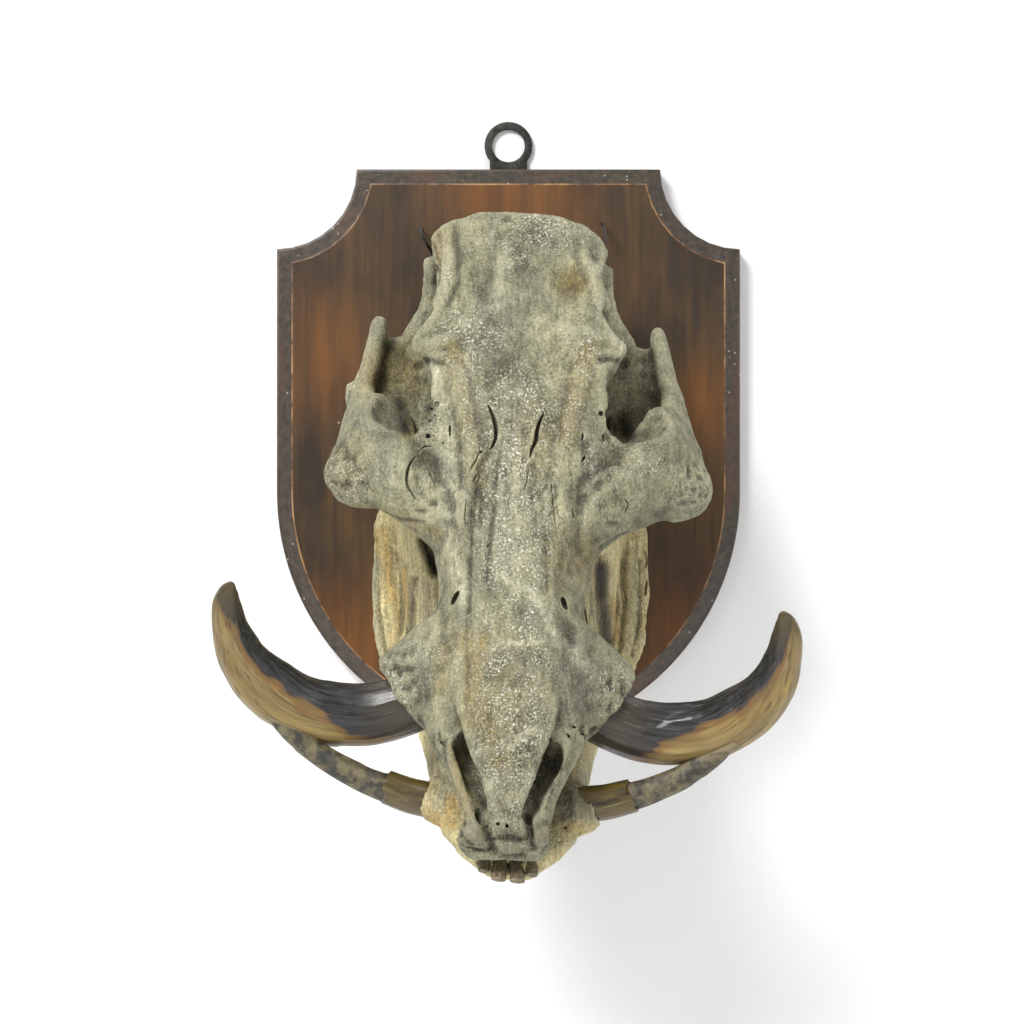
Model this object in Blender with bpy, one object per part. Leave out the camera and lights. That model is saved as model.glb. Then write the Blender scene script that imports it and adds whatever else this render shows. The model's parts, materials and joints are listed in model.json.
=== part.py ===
"""Warthog skull tied to a chamfered wooden wall shield, snout down and tilted forward.

World frame, in metres: the shield's back lies on the plane y = 0, +Z is up, and the
viewer stands on the -Y side. The origin is the centre of the shield's back.

The skull is modelled in its own frame, in millimetres: x to the viewer's right,
s backwards from the tip of the snout along the palate, h upwards from the palate.
An empty turns that frame by SKULL_TILT and places it in front of the shield.
"""

import math

import bmesh
import bpy
from mathutils import Vector

MM = 0.001

# Fit between touching pieces
GAP = 0.35

# Shield
SHIELD_HALF_WIDTH = 136.5
SHIELD_HALF_HEIGHT = 168.5
SHIELD_THICKNESS = 22.0
CORNER_RADIUS = 47.0
FOOT_ARC_RADIUS = 147.5
FOOT_ARC_HEIGHT = -22.0
CHAMFER_WIDTH = 9.0
CHAMFER_DEPTH = 7.0

# Hanging ring and its plate
RING_CENTRE_Z = 183.7
RING_OUTER_RADIUS = 14.2
RING_HOLE_RADIUS = 9.7
RING_THICKNESS = 3.0
NECK_HALF_WIDTH = 11.0
RING_START_ANGLE = math.radians(38.0)
RING_STEPS = 24
HOLE_STEPS = 32
PLATE_FOOT_Z = 128.0
SCREW_HEIGHTS = {"upper": 158.0, "lower": 138.0}
SCREW_HEAD_RADIUS = 3.6
SCREW_SHANK_RADIUS = 1.9
SCREW_HEAD_HEIGHT = 2.2
SCREW_LENGTH = 15.0
SCREW_SINK = 0.4
SCREW_STEPS = 12

# How far a cutting shape stands out past the face it opens
CUT_THROUGH = 1.0

# Skull pose: the palate leans back from the wall by this angle
SKULL_TILT = math.radians(40.0)
SNOUT_FORWARD = 279.3
SNOUT_DROP = 210.1
CRANIUM_ROLL = 0.045
CRANIUM_DRIFT = 6.3
JAW_TWIST = 0.085

# Voxel sizes of the fused bones and their final triangle counts
BONE_VOXEL = 2.2
NASAL_VOXEL = 1.76
CRANIUM_TRIANGLES = 3700
MANDIBLE_TRIANGLES = 1300


def clear_scene():
    """Remove whatever the file opened with."""
    for old in list(bpy.data.objects):
        bpy.data.objects.remove(old, do_unlink=True)


def material(name, colour, roughness, metallic=0.0):
    """Principled material with the piece's plain colour."""
    made = bpy.data.materials.new(name)
    made.use_nodes = True
    shader = made.node_tree.nodes["Principled BSDF"]
    shader.inputs["Base Color"].default_value = (*colour, 1.0)
    shader.inputs["Roughness"].default_value = roughness
    shader.inputs["Metallic"].default_value = metallic
    made.diffuse_color = (*colour, 1.0)
    return made


def mesh_object(name, bm, surface, parent=None):
    """Turn a bmesh into a named object."""
    bmesh.ops.recalc_face_normals(bm, faces=bm.faces)
    mesh = bpy.data.meshes.new(name)
    bm.to_mesh(mesh)
    bm.free()
    made = bpy.data.objects.new(name, mesh)
    bpy.context.scene.collection.objects.link(made)
    if surface is not None:
        mesh.materials.append(surface)
    made.parent = parent
    return made


def cutter_object(name, bm, parent=None):
    """A shape that only cuts others."""
    made = mesh_object(name, bm, None, parent)
    made.hide_render = True
    made.display_type = "WIRE"
    return made


def bake(made):
    """Keep the result of an object's modifiers as its mesh."""
    bpy.context.view_layer.update()
    evaluated = made.evaluated_get(bpy.context.evaluated_depsgraph_get())
    mesh = bpy.data.meshes.new_from_object(evaluated)
    made.modifiers.clear()
    old = made.data
    made.data = mesh
    bpy.data.meshes.remove(old)


def shade_round(made, degrees=40.0):
    """Smooth shading with edges sharper than this left crisp."""
    made.data.shade_smooth()
    made.data.set_sharp_from_angle(angle=math.radians(degrees))


def cut(made, cutter):
    """Boolean difference, kept in the mesh."""
    step = made.modifiers.new("cut_" + cutter.name, "BOOLEAN")
    step.operation = "DIFFERENCE"
    step.solver = "EXACT"
    step.object = cutter
    bake(made)


def remesh(made, voxel):
    """Fuse overlapping shells into one skin."""
    step = made.modifiers.new("fuse", "REMESH")
    step.mode = "VOXEL"
    step.voxel_size = voxel * MM
    bake(made)


def smooth(made, factor, repeats):
    """Soften the skin."""
    step = made.modifiers.new("soften", "SMOOTH")
    step.factor = factor
    step.iterations = repeats
    bake(made)


def reduce_to(made, triangles):
    """Collapse short edges until about this many triangles are left."""
    made.data.calc_loop_triangles()
    step = made.modifiers.new("reduce", "DECIMATE")
    step.ratio = triangles / len(made.data.loop_triangles)
    bake(made)


def around(segments, roundness=1.0):
    """Cosine and sine round a circle, or round a box whose corners sharpen below 1."""
    pairs = []
    for k in range(segments):
        angle = math.tau * k / segments
        c = math.cos(angle)
        d = math.sin(angle)
        pairs.append((math.copysign(abs(c) ** roundness, c), math.copysign(abs(d) ** roundness, d)))
    return pairs


def curve_through(rows, steps):
    """Catmull-Rom curve through rows of numbers, with this many steps a span."""
    rows = [tuple(row) for row in rows]
    padded = [rows[0]] + rows + [rows[-1]]
    out = []
    for i in range(1, len(padded) - 2):
        before, start, end, after = padded[i - 1:i + 3]
        for k in range(steps):
            t = k / steps
            out.append(tuple(
                0.5 * (2 * b + (c - a) * t + (2 * a - 5 * b + 4 * c - d) * t * t
                       + (3 * b - a - 3 * c + d) * t ** 3)
                for a, b, c, d in zip(before, start, end, after)))
    out.append(rows[-1])
    return out


def add_loft(bm, rings):
    """Closed skin over rings with equal point counts, capped at both ends."""
    loops = [[bm.verts.new(point) for point in ring] for ring in rings]
    count = len(loops[0])
    for low, high in zip(loops, loops[1:]):
        for k in range(count):
            nxt = (k + 1) % count
            bm.faces.new((low[k], low[nxt], high[nxt], high[k]))
    bm.faces.new(loops[0][::-1])
    bm.faces.new(loops[-1])


def add_ribbon(bm, place, stations, segments=16, roundness=1.0, steps=3):
    """Flat rounded band. A station is (upper point, lower point, half thickness)."""
    flat = [(*upper, *lower, half) for upper, lower, half in stations]
    rows = curve_through(flat, steps)
    uppers = [Vector(row[0:3]) for row in rows]
    lowers = [Vector(row[3:6]) for row in rows]
    middles = [(up + low) / 2 for up, low in zip(uppers, lowers)]
    rings = []
    last = len(rows) - 1
    for i, row in enumerate(rows):
        along = middles[min(i + 1, last)] - middles[max(i - 1, 0)]
        across = (uppers[i] - lowers[i]) / 2
        normal = along.cross(across).normalized()
        rings.append([place(*(middles[i] + across * c + normal * (row[6] * d)))
                      for c, d in around(segments, roundness)])
    add_loft(bm, rings)


def add_tube(bm, place, stations, segments=14, steps=3, flat_axis=(0.0, 1.0, 0.0)):
    """Oval tube. A station is (point, radius along flat_axis, radius across it)."""
    rows = curve_through([(*point, a, b) for point, a, b in stations], steps)
    points = [Vector(row[0:3]) for row in rows]
    last = len(rows) - 1
    rings = []
    for i, row in enumerate(rows):
        along = (points[min(i + 1, last)] - points[max(i - 1, 0)]).normalized()
        flat = Vector(flat_axis)
        flat = (flat - along * flat.dot(along)).normalized()
        cross = along.cross(flat)
        rings.append([place(*(points[i] + flat * (row[3] * c) + cross * (row[4] * d)))
                      for c, d in around(segments)])
    add_loft(bm, rings)


def add_ball(bm, place, centre, radii, rings=10, segments=16):
    """Egg shape with its poles along h."""
    made = bmesh.ops.create_uvsphere(bm, u_segments=segments, v_segments=rings, radius=1.0)
    for vert in made["verts"]:
        local = [c + r * v for c, r, v in zip(centre, radii, vert.co)]
        vert.co = place(*local)


def smoothstep(low, high, value):
    """Ease from 0 to 1 between two values."""
    t = min(max((value - low) / (high - low), 0.0), 1.0)
    return t * t * (3 - 2 * t)


def cranium_place(x, s, h):
    """This cranium hangs a little lower on its right and leans right at the back."""
    drift = CRANIUM_DRIFT * smoothstep(105.0, 225.0, s) - 0.5 - 2.5 * smoothstep(18.0, 2.0, s)
    lower = CRANIUM_ROLL * x
    return Vector((x + drift, s - lower * math.sin(SKULL_TILT),
                   h - lower * math.cos(SKULL_TILT))) * MM


def jaw_place(x, s, h):
    """The jaw twists the same way, but only towards its front."""
    lower = JAW_TWIST * x * max(0.0, 1.0 - s / 220.0)
    return Vector((x + 0.004 * s, s - lower * math.sin(SKULL_TILT),
                   h - lower * math.cos(SKULL_TILT))) * MM


def mirrored(stations, side):
    """Ribbon stations on one side of the skull."""
    return [((side * up[0], up[1], up[2]), (side * low[0], low[1], low[2]), half)
            for up, low, half in stations]


# Shield and hanging ring


def shield_outline(inset, arc_steps=9):
    """Half outline from the top centre to the foot, as (x, z), shrunk by inset."""
    top = SHIELD_HALF_HEIGHT - inset
    side = SHIELD_HALF_WIDTH - inset
    radius = CORNER_RADIUS + inset
    corner = Vector((SHIELD_HALF_WIDTH, SHIELD_HALF_HEIGHT))
    first = math.asin(inset / radius)
    points = []
    for k in range(arc_steps + 1):
        turn = math.pi + first + (math.pi / 2 - 2 * first) * k / arc_steps
        points.append((corner.x + radius * math.cos(turn), corner.y + radius * math.sin(turn)))
    points[0] = (points[0][0], top)
    points[-1] = (side, points[-1][1])
    arc = FOOT_ARC_RADIUS - inset
    centre_x = SHIELD_HALF_WIDTH - FOOT_ARC_RADIUS
    foot = math.acos(-centre_x / arc)
    for k in range(arc_steps * 2):
        turn = foot * k / (arc_steps * 2)
        points.append((centre_x + arc * math.cos(turn), FOOT_ARC_HEIGHT - arc * math.sin(turn)))
    points.append((0.0, FOOT_ARC_HEIGHT - arc * math.sin(foot)))
    return points


def full_outline(inset):
    """Both halves of the shield's outline."""
    half = shield_outline(inset)
    return half + [(-x, z) for x, z in reversed(half[:-1])]


def plate_outline(grow=0.0):
    """Ring plate from its foot up to the ring, as (x, z) points of the outer edge."""
    radius = RING_OUTER_RADIUS + grow
    half = NECK_HALF_WIDTH + grow
    points = [(-half, PLATE_FOOT_Z - grow), (half, PLATE_FOOT_Z - grow),
              (half, SHIELD_HALF_HEIGHT)]
    for k in range(RING_STEPS + 1):
        turn = (math.pi + 2 * RING_START_ANGLE) * k / RING_STEPS - RING_START_ANGLE
        points.append((radius * math.cos(turn), RING_CENTRE_Z + radius * math.sin(turn)))
    points.append((-half, SHIELD_HALF_HEIGHT))
    return points


def flat_plate(bm, outline, back, front):
    """Extrude an outline in x and z between two depths."""
    add_loft(bm, [[Vector((x, -back, z)) * MM for x, z in outline],
                  [Vector((x, -front, z)) * MM for x, z in outline]])


def turned(bm, z, profile, segments):
    """Round shape whose axis runs into the wall, from rows of (depth, radius)."""
    add_loft(bm, [[Vector((radius * c, -depth, z + radius * d)) * MM for c, d in around(segments)]
                  for depth, radius in profile])


def screw_shape(bm, z, grow=0.0):
    """Countersunk screw driven forward into the board from behind."""
    head = SCREW_HEAD_RADIUS + grow
    shank = SCREW_SHANK_RADIUS + grow
    start = -CUT_THROUGH if grow else SCREW_SINK
    edge = SCREW_SINK + 0.2
    turned(bm, z, ((start, head), (edge, head), (SCREW_SINK + SCREW_HEAD_HEIGHT, shank),
                   (SCREW_LENGTH + grow, shank)), SCREW_STEPS)


def build_shield(wood):
    """Board with its chamfer, the recess of the ring plate and two screw holes."""
    bm = bmesh.new()
    edge = SHIELD_THICKNESS - CHAMFER_DEPTH
    rings = []
    for inset, depth in ((0.0, 0.0), (0.0, edge), (CHAMFER_WIDTH, SHIELD_THICKNESS)):
        rings.append([Vector((x, -depth, z)) * MM for x, z in full_outline(inset)])
    add_loft(bm, rings)
    shield = mesh_object("shield", bm, wood)

    bm = bmesh.new()
    flat_plate(bm, plate_outline(GAP), -CUT_THROUGH, RING_THICKNESS + GAP)
    cut(shield, cutter_object("plate_recess", bm))
    for name, z in SCREW_HEIGHTS.items():
        bm = bmesh.new()
        screw_shape(bm, z, GAP)
        cut(shield, cutter_object("shield_screw_hole_" + name, bm))
    return shield


def build_hanging_ring(iron):
    """Flat ring and plate cut from one strip, with the eye and two screw holes."""
    bm = bmesh.new()
    flat_plate(bm, plate_outline(), 0.0, RING_THICKNESS)
    ring = mesh_object("hanging_ring", bm, iron)
    bm = bmesh.new()
    turned(bm, RING_CENTRE_Z, ((-CUT_THROUGH, RING_HOLE_RADIUS),
                               (RING_THICKNESS + CUT_THROUGH, RING_HOLE_RADIUS)), HOLE_STEPS)
    cut(ring, cutter_object("ring_hole", bm))
    for name, z in SCREW_HEIGHTS.items():
        bm = bmesh.new()
        screw_shape(bm, z, GAP)
        cut(ring, cutter_object("plate_screw_hole_" + name, bm))
    return ring


def build_screws(steel):
    """The two screws of the ring plate."""
    for name, z in SCREW_HEIGHTS.items():
        bm = bmesh.new()
        screw_shape(bm, z)
        shade_round(mesh_object("hanger_screw_" + name, bm, steel))


# Cranium

# Cross-sections of snout, face and braincase: s, then half of the outline
# from the top midline round the right side to the bottom midline, as (x, h).
BODY_SECTIONS = (
    (-3, ((0, 13), (8, 13), (15, 12), (20, 9), (22, 5), (21, 1), (17, -1.5), (8, -2), (0, -1.5))),
    (5, ((0, 20), (9, 19), (17, 16), (23, 12), (25.5, 7), (25, 2), (21, -2), (10, -3), (0, -2))),
    (16, ((0, 25), (8, 24), (15, 22), (19, 18), (21, 12), (21, 4), (19, -1), (9, -2), (0, -1))),
    (36, ((0, 34), (10, 34), (20, 33), (27, 29), (29, 18), (27, 8), (23, 0), (10, -1), (0, 0))),
    (52, ((0, 50), (12, 49), (22, 44), (33, 37), (37, 24), (33, 11), (26, 1), (12, 0), (0, 1))),
    (68, ((0, 59), (14, 58), (24, 54), (36, 43), (44, 28), (40, 12), (28, 1), (13, 1), (0, 2))),
    (85, ((0, 66), (15, 65), (24, 61), (38, 48), (47, 33), (43, 13), (29, 1), (14, 2), (0, 3))),
    (105, ((0, 74), (15, 73), (23, 69), (35, 55), (44, 40), (42, 16), (29, 1), (14, 3), (0, 4))),
    (130, ((0, 83), (15, 82.5), (23, 79), (32, 66), (38, 50), (38, 26), (31, 1), (15, 4), (0, 5))),
    (150, ((0, 90), (16, 90), (25, 87), (34, 74), (38, 55), (38, 28), (32, 1), (15, 5), (0, 6))),
    (175, ((0, 101), (20, 101), (31, 98), (42, 85), (45, 62), (40, 30), (33, 2), (15, 6), (0, 7))),
    (200, ((0, 113), (25, 114), (41, 113), (52, 102), (52, 76), (41, 36), (33, 3), (16, 7), (0, 8))),
    (212, ((0, 121), (28, 122), (48, 121), (56, 112), (49, 80), (38, 42), (31, 8), (15, 11), (0, 12))),
    (220, ((0, 126), (28, 127.5), (49, 128), (53, 118), (45, 82), (35, 48), (29, 14), (14, 16), (0, 17))),
    (228, ((0, 131.5), (28, 133), (47, 134.5), (46, 125), (40, 92), (34, 60), (27, 28), (13, 26), (0, 26))),
    (237, ((0, 137), (28, 139.5), (52, 140.5), (48, 131), (38, 98), (34, 72), (26, 42), (12, 36), (0, 34))),
    (244, ((0, 141.5), (30, 144), (61, 143.5), (56, 133), (38, 104), (34, 78), (26, 48), (12, 40), (0, 38))),
    (252, ((0, 146.5), (28, 148), (56, 148), (46, 136), (38, 108), (35, 83), (27, 54), (13, 45), (0, 43))),
    (262, ((0, 151), (28, 152), (48, 152), (43, 137), (38, 112), (36, 88), (28, 60), (13, 50), (0, 47))),
    (275, ((0, 156.5), (28, 157.5), (46, 157), (42, 140), (39, 114), (38, 90), (30, 63), (14, 54), (0, 52))),
    (290, ((0, 161), (28, 162), (46, 160), (43, 143), (41, 118), (40, 92), (31, 66), (15, 57), (0, 55))),
    (302, ((0, 165), (28, 165.5), (49, 162), (44, 147), (41, 119), (41, 94), (33, 68), (15, 59), (0, 57))),
    (312, ((0, 168), (27, 168), (50, 163), (45, 149), (42, 120), (42, 95), (34, 70), (16, 61), (0, 59))),
    (320, ((0, 170), (25, 170), (46, 164.5), (43, 149), (40, 122), (40, 97), (32, 72), (16, 64), (0, 62))),
    (328, ((0, 171), (22, 170.5), (38, 165), (37, 150), (37, 124), (37, 98), (30, 74), (16, 66), (0, 64))),
    (332, ((0, 169), (20, 168.5), (32, 163), (33, 148), (34, 123), (34, 99), (28, 77), (15, 70), (0, 68))),
    (338, ((0, 158), (12, 157), (20, 152), (26, 140), (28, 122), (28, 102), (22, 84), (12, 78), (0, 77))),
)

# Cheek arch from the snout side round to the jaw joint
CHEEK_ARCH = (
    ((28, 162, 88), (30, 168, 50), 10),
    ((50, 186, 100), (50, 186, 57), 12),
    ((60, 206, 106), (74, 200, 60), 16),
    ((63, 222, 105), (94, 209, 60), 17),
    ((65, 234, 115), (101, 222, 62), 13),
    ((78, 247, 104), (99, 240, 66), 8),
    ((81, 262, 101), (93, 260, 73), 6.5),
    ((81, 274, 104), (86, 277, 80), 6),
    ((75, 286, 104), (76, 290, 84), 6),
    ((60, 296, 104), (60, 302, 88), 6.5),
    ((38, 298, 108), (38, 304, 84), 9),
)

# Upright finger at the back of the arch
ARCH_FINGER = (
    ((88, 258, 84), 6, 8),
    ((83, 270, 100), 5.6, 8),
    ((79, 280, 113), 5.5, 7.5),
    ((77, 286, 121), 5.4, 6.5),
    ((76.5, 289, 126), 3.6, 4.5),
)

# Hollow sheet over the jaw joint, from the finger to the braincase
JOINT_SHEET = (
    ((80, 282, 106), (80, 268, 86), 4),
    ((72, 290, 112), (70, 268, 84), 5),
    ((58, 294, 108), (57, 266, 83), 5),
    ((40, 294, 108), (38, 264, 82), 6),
)

TUSK_FLARE = (
    ((28, 138, 46), (20, 74, 34), 24),
    ((46, 130, 34), (32, 74, 25), 22),
    ((58, 124, 27), (40, 75, 18), 20),
    ((67, 119, 22), (45, 77, 14), 18.5),
)

CREST_BLADE = (
    ((48, 320, 148), (34, 308, 144), 4),
    ((54, 319, 143), (36, 304, 138), 4),
    ((54, 314, 131), (36, 300, 126), 4),
    ((57, 308, 118), (38, 295, 112), 5.5),
    ((66, 301, 106), (44, 291, 100), 7),
)

NASAL_BONES = (
    (4, 5, 6, 22),
    (10, 9, 16, 31),
    (20, 13, 26, 36.5),
    (36, 20, 34, 43.5),
    (48, 25, 41, 51),
    (62, 27, 47, 57),
    (84, 22, 54, 64),
)

NASAL_CAVITY = (
    (8, 17, 14, 40),
    (16, 19.5, 12, 60),
    (30, 24, 12, 75),
    (40, 28, 13, 76),
    (47, 28, 14, 54),
    (54, 23, 15, 40),
    (85, 16, 15, 44),
    (115, 14, 14, 38),
)


def add_cranium_body(bm):
    """Snout, face and braincase in one skin."""
    rows = []
    for s, outline in BODY_SECTIONS:
        rows.append([s] + [value for point in outline for value in point])
    rings = []
    for row in curve_through(rows, 3):
        half = [(row[i], row[i + 1]) for i in range(1, len(row), 2)]
        ring = half + [(-x, h) for x, h in reversed(half[1:-1])]
        rings.append([cranium_place(x, row[0], h) for x, h in ring])
    add_loft(bm, rings)


def add_box_loft(bm, rows, corner=0.55, steps=3):
    """Tunnel or beam with rounded box sections, a row being (s, half width, low, high)."""
    rings = []
    for s, half, low, high in curve_through(rows, steps):
        middle = (low + high) / 2
        rise = (high - low) / 2
        rings.append([cranium_place(half * c, s, middle + rise * d)
                      for c, d in around(16, corner)])
    add_loft(bm, rings)


# Processes, condyles and wings on both sides, for the side with positive x
EAR_PROCESS = (
    ((36, 312, 78), 9, 9),
    ((38, 317, 38), 6, 7),
    ((40, 322, 0), 3.5, 4),
)

NOSTRIL_WING = (
    ((17, 200, 26), (18, 202, 3), 4),
    ((18, 212, 30), (20, 212, -3), 4),
    ((19, 226, 36), (21, 220, 2), 3.5),
)

# Egg shapes as (centre, radii)
CHEEK_BOSS = ((84, 213, 73), (23, 21, 17))
CONDYLE = ((17, 336, 76), (12, 12, 14))
EAR_BULB = ((24, 288, 54), (9, 15, 12))
ORBIT = ((58, 227, 113), (27, 18, 14.5))

INNER_NOSTRIL = (
    (186, 9, 12, 20),
    (200, 12, 9, 30),
    (222, 13, 2, 32),
    (246, 12, -10, 26),
)

# Foramen magnum and the way into the braincase
BRAIN_WAY = (
    ((0, 356, 92), 12, 11),
    ((0, 334, 94), 11, 10.5),
    ((0, 318, 100), 15, 15),
    ((0, 300, 108), 17, 18),
    ((0, 286, 110), 12, 12),
)


def on_side(stations, side):
    """Tube stations on one side of the skull."""
    return [((side * x, s, h), a, b) for (x, s, h), a, b in stations]


def add_side_ball(bm, place, ball, side):
    (x, s, h), radii = ball
    add_ball(bm, place, (side * x, s, h), radii)


def build_cranium(bone, skull):
    """Fuse the grown parts, hollow the nose, orbits and braincase, add the nasal bones."""
    bm = bmesh.new()
    add_cranium_body(bm)
    for side in (-1, 1):
        for band in (CHEEK_ARCH, JOINT_SHEET, CREST_BLADE, NOSTRIL_WING):
            add_ribbon(bm, cranium_place, mirrored(band, side))
        add_ribbon(bm, cranium_place, mirrored(TUSK_FLARE, side), 20)
        add_tube(bm, cranium_place, on_side(ARCH_FINGER, side), flat_axis=(1.0, 0.0, 0.0))
        add_tube(bm, cranium_place, on_side(EAR_PROCESS, side))
        for ball in (CHEEK_BOSS, CONDYLE, EAR_BULB):
            add_side_ball(bm, cranium_place, ball, side)
    cranium = mesh_object("cranium", bm, bone, skull)
    remesh(cranium, BONE_VOXEL)

    bm = bmesh.new()
    add_box_loft(bm, NASAL_CAVITY)
    add_box_loft(bm, INNER_NOSTRIL)
    for side in (-1, 1):
        add_side_ball(bm, cranium_place, ORBIT, side)
    add_tube(bm, cranium_place, BRAIN_WAY, flat_axis=(1.0, 0.0, 0.0))
    hollows = cutter_object("cranium_hollows", bm, skull)
    remesh(hollows, BONE_VOXEL)
    cut(cranium, hollows)

    bm = bmesh.new()
    add_box_loft(bm, NASAL_BONES, corner=0.8)
    bm.from_mesh(cranium.data)
    bm.to_mesh(cranium.data)
    bm.free()
    remesh(cranium, NASAL_VOXEL)
    smooth(cranium, 0.5, 4)
    reduce_to(cranium, CRANIUM_TRIANGLES)
    return cranium


# Mandible

JAW_BODY = (
    ((10, 22, -12), (10, 28, -27), 9),
    ((20, 42, -13), (20, 50, -34), 11),
    ((28, 72, -15), (30, 80, -43), 11),
    ((30, 105, -17), (36, 108, -50), 11),
    ((30, 140, -18), (43, 140, -58), 11),
    ((31, 175, -18), (49, 178, -65), 11),
    ((36, 205, -12), (53, 212, -70), 8),
    ((46, 226, 24), (56, 238, -72), 6),
    ((53, 243, 72), (58, 260, -66), 5),
    ((56, 256, 88), (60, 270, -62), 4.5),
    ((57, 266, 72), (61, 278, -56), 5),
    ((59, 280, 66), (63, 290, -46), 5),
    ((60, 291, 56), (65, 300, -28), 5),
)

JAW_FLANGE = (
    ((77, 300, -18), (62, 296, -8), 4.5),
    ((80, 300, -30), (58, 294, -24), 5),
    ((81, 294, -44), (56, 288, -42), 5),
    ((82, 281, -57), (52, 275, -58), 5.5),
    ((82, 266, -65), (48, 262, -66), 5.5),
    ((79, 246, -74), (47, 244, -70), 5.5),
    ((71, 223, -80), (46, 223, -72), 5.5),
    ((56, 203, -79), (42, 204, -70), 6),
)

CHIN = (
    (1, 12, -19, -9),
    (10, 20, -23, -8),
    (22, 28, -27, -8),
    (42, 37, -33, -10),
    (60, 39, -38, -13),
    (78, 34, -43, -18),
    (96, 27, -47, -28),
)


JAW_CONDYLE = (
    ((45, 281, 67), 8, 6),
    ((60, 282, 69), 9, 7),
    ((74, 283, 67), 7, 6),
)

# Collar of bone round the lower tusk
TUSK_COLLAR = (
    ((22, 57, -24), 16, 13),
    ((34, 59, -22), 15, 13.5),
    ((41, 61, -21), 13, 13),
    ((45, 62, -20), 11.5, 11.5),
)

CHIN_DISH = 5.0


def build_mandible(bone, skull):
    """Both halves with their flanges, condyles and tusk collars, fused at the chin."""
    bm = bmesh.new()
    for side in (-1, 1):
        add_ribbon(bm, jaw_place, mirrored(JAW_BODY, side), roundness=0.71)
        add_ribbon(bm, jaw_place, mirrored(JAW_FLANGE, side), roundness=0.83)
        add_tube(bm, jaw_place, on_side(JAW_CONDYLE, side))
        add_tube(bm, jaw_place, on_side(TUSK_COLLAR, side))
    rings = []
    for s, half, low, high in curve_through(CHIN, 3):
        ring = []
        for c, d in around(16, 0.7):
            dish = CHIN_DISH * (1 - abs(c)) if d > 0 else 0.0
            ring.append(jaw_place(half * c, s, (low + high) / 2 + (high - low) / 2 * d - dish))
        rings.append(ring)
    add_loft(bm, rings)
    mandible = mesh_object("mandible", bm, bone, skull)
    remesh(mandible, BONE_VOXEL)
    smooth(mandible, 0.5, 3)
    reduce_to(mandible, MANDIBLE_TRIANGLES)
    return mandible


# Tusks and teeth

# Centre line of an upper tusk from root to tip, then its radius across the curve
# and its radius along the snout.
UPPER_TUSK = (
    ((34, 100, 26), 12.5, 14),
    ((50, 98, 19), 14, 16.5),
    ((70, 96, 12), 14.5, 18),
    ((90, 95, 11.5), 14.5, 18.5),
    ((110, 94, 18.5), 14, 18),
    ((127, 93, 34), 13, 17),
    ((138, 92, 53), 10.5, 13.5),
    ((143, 91, 73), 8.5, 10),
    ((144, 90, 89), 6.5, 8),
    ((143, 89.5, 99), 4.4, 5.4),
    ((141.5, 89.5, 104), 2.4, 2.8),
    ((141, 89.5, 106), 0.9, 1.1),
)

# The first rows of an upper tusk make its socket
UPPER_ROOT_ROWS = 5

# How far each tusk has slipped down, by side of the skull
UPPER_TUSK_DROP = {-1: 4.5, 1: 7.0}
LOWER_TUSK_DROP = {-1: 4.0, 1: 1.0}

# The right lower tusk is broken shorter
LOWER_TUSK_REACH = {-1: 1.0, 1: 0.90}

LOWER_TUSK_SLEEVE = (
    ((22, 58, -22), 8, 9.5),
    ((40, 62, -19), 8.6, 10.4),
    ((52, 64, -18), 8.6, 10.2),
    ((65, 67, -15.5), 8.2, 9.8),
)

LOWER_TUSK_CORE = (
    ((66, 67, -15.5), 6.6, 7.9),
    ((78, 70, -12.5), 6.3, 7.4),
    ((94, 74, -6), 6, 6.9),
    ((107, 77.5, 2.3), 5.2, 6.2),
    ((117, 80, 10), 4, 5),
    ((124, 82, 17.5), 2, 2.6),
    ((126.5, 83, 20.5), 0.8, 1),
)


TUSK_SIDES = 12


def tooth_place(place, side):
    """Frame of one side of a bone, so that a tooth is drawn once for both sides."""
    return lambda x, s, h: place(side * x, s, h)


def grown(stations, extra):
    """Tube stations made thicker all round."""
    return [(point, a + extra, b + extra) for point, a, b in stations]


def slipped(stations, drop):
    """Tube stations moved straight down the wall."""
    return [((x, s - drop * math.sin(SKULL_TILT), h - drop * math.cos(SKULL_TILT)), a, b)
            for (x, s, h), a, b in stations]


def drawn_back(stations):
    """Tube stations whose first one reaches further into the bone."""
    (x, s, h), a, b = stations[0]
    return [((x - CUT_THROUGH, s, h), a, b)] + list(stations[1:])


def upper_tusk_mesh(side, extra=0.0, root_only=False):
    """Curved tusk that sits a little lower in its socket on the right."""
    rows = grown(slipped(UPPER_TUSK, UPPER_TUSK_DROP[side]), extra)
    if root_only:
        rows = drawn_back(rows[:UPPER_ROOT_ROWS])
    bm = bmesh.new()
    add_tube(bm, tooth_place(cranium_place, side), rows, TUSK_SIDES, 1)
    return bm


def lower_tusk_mesh(side, extra=0.0):
    """Thick outer layer near the jaw, broken off in a step, then the bare core."""
    reach = LOWER_TUSK_REACH[side]
    (start, _, level), _, _ = LOWER_TUSK_CORE[0]
    core = [(((x - start) * reach + start, s, (h - level) * reach + level), a, b)
            for (x, s, h), a, b in LOWER_TUSK_CORE]
    rows = drawn_back(LOWER_TUSK_SLEEVE) if extra else list(LOWER_TUSK_SLEEVE) + core
    bm = bmesh.new()
    add_tube(bm, tooth_place(jaw_place, side),
             grown(slipped(rows, LOWER_TUSK_DROP[side]), extra), TUSK_SIDES, 1)
    return bm


# Incisors from left to right by their distance from the midline
INCISORS = {"1": -12.6, "2": -4.7, "3": 4.7, "4": 12.6}
MIDDLE_PAIR_REACH = 6.0


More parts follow.
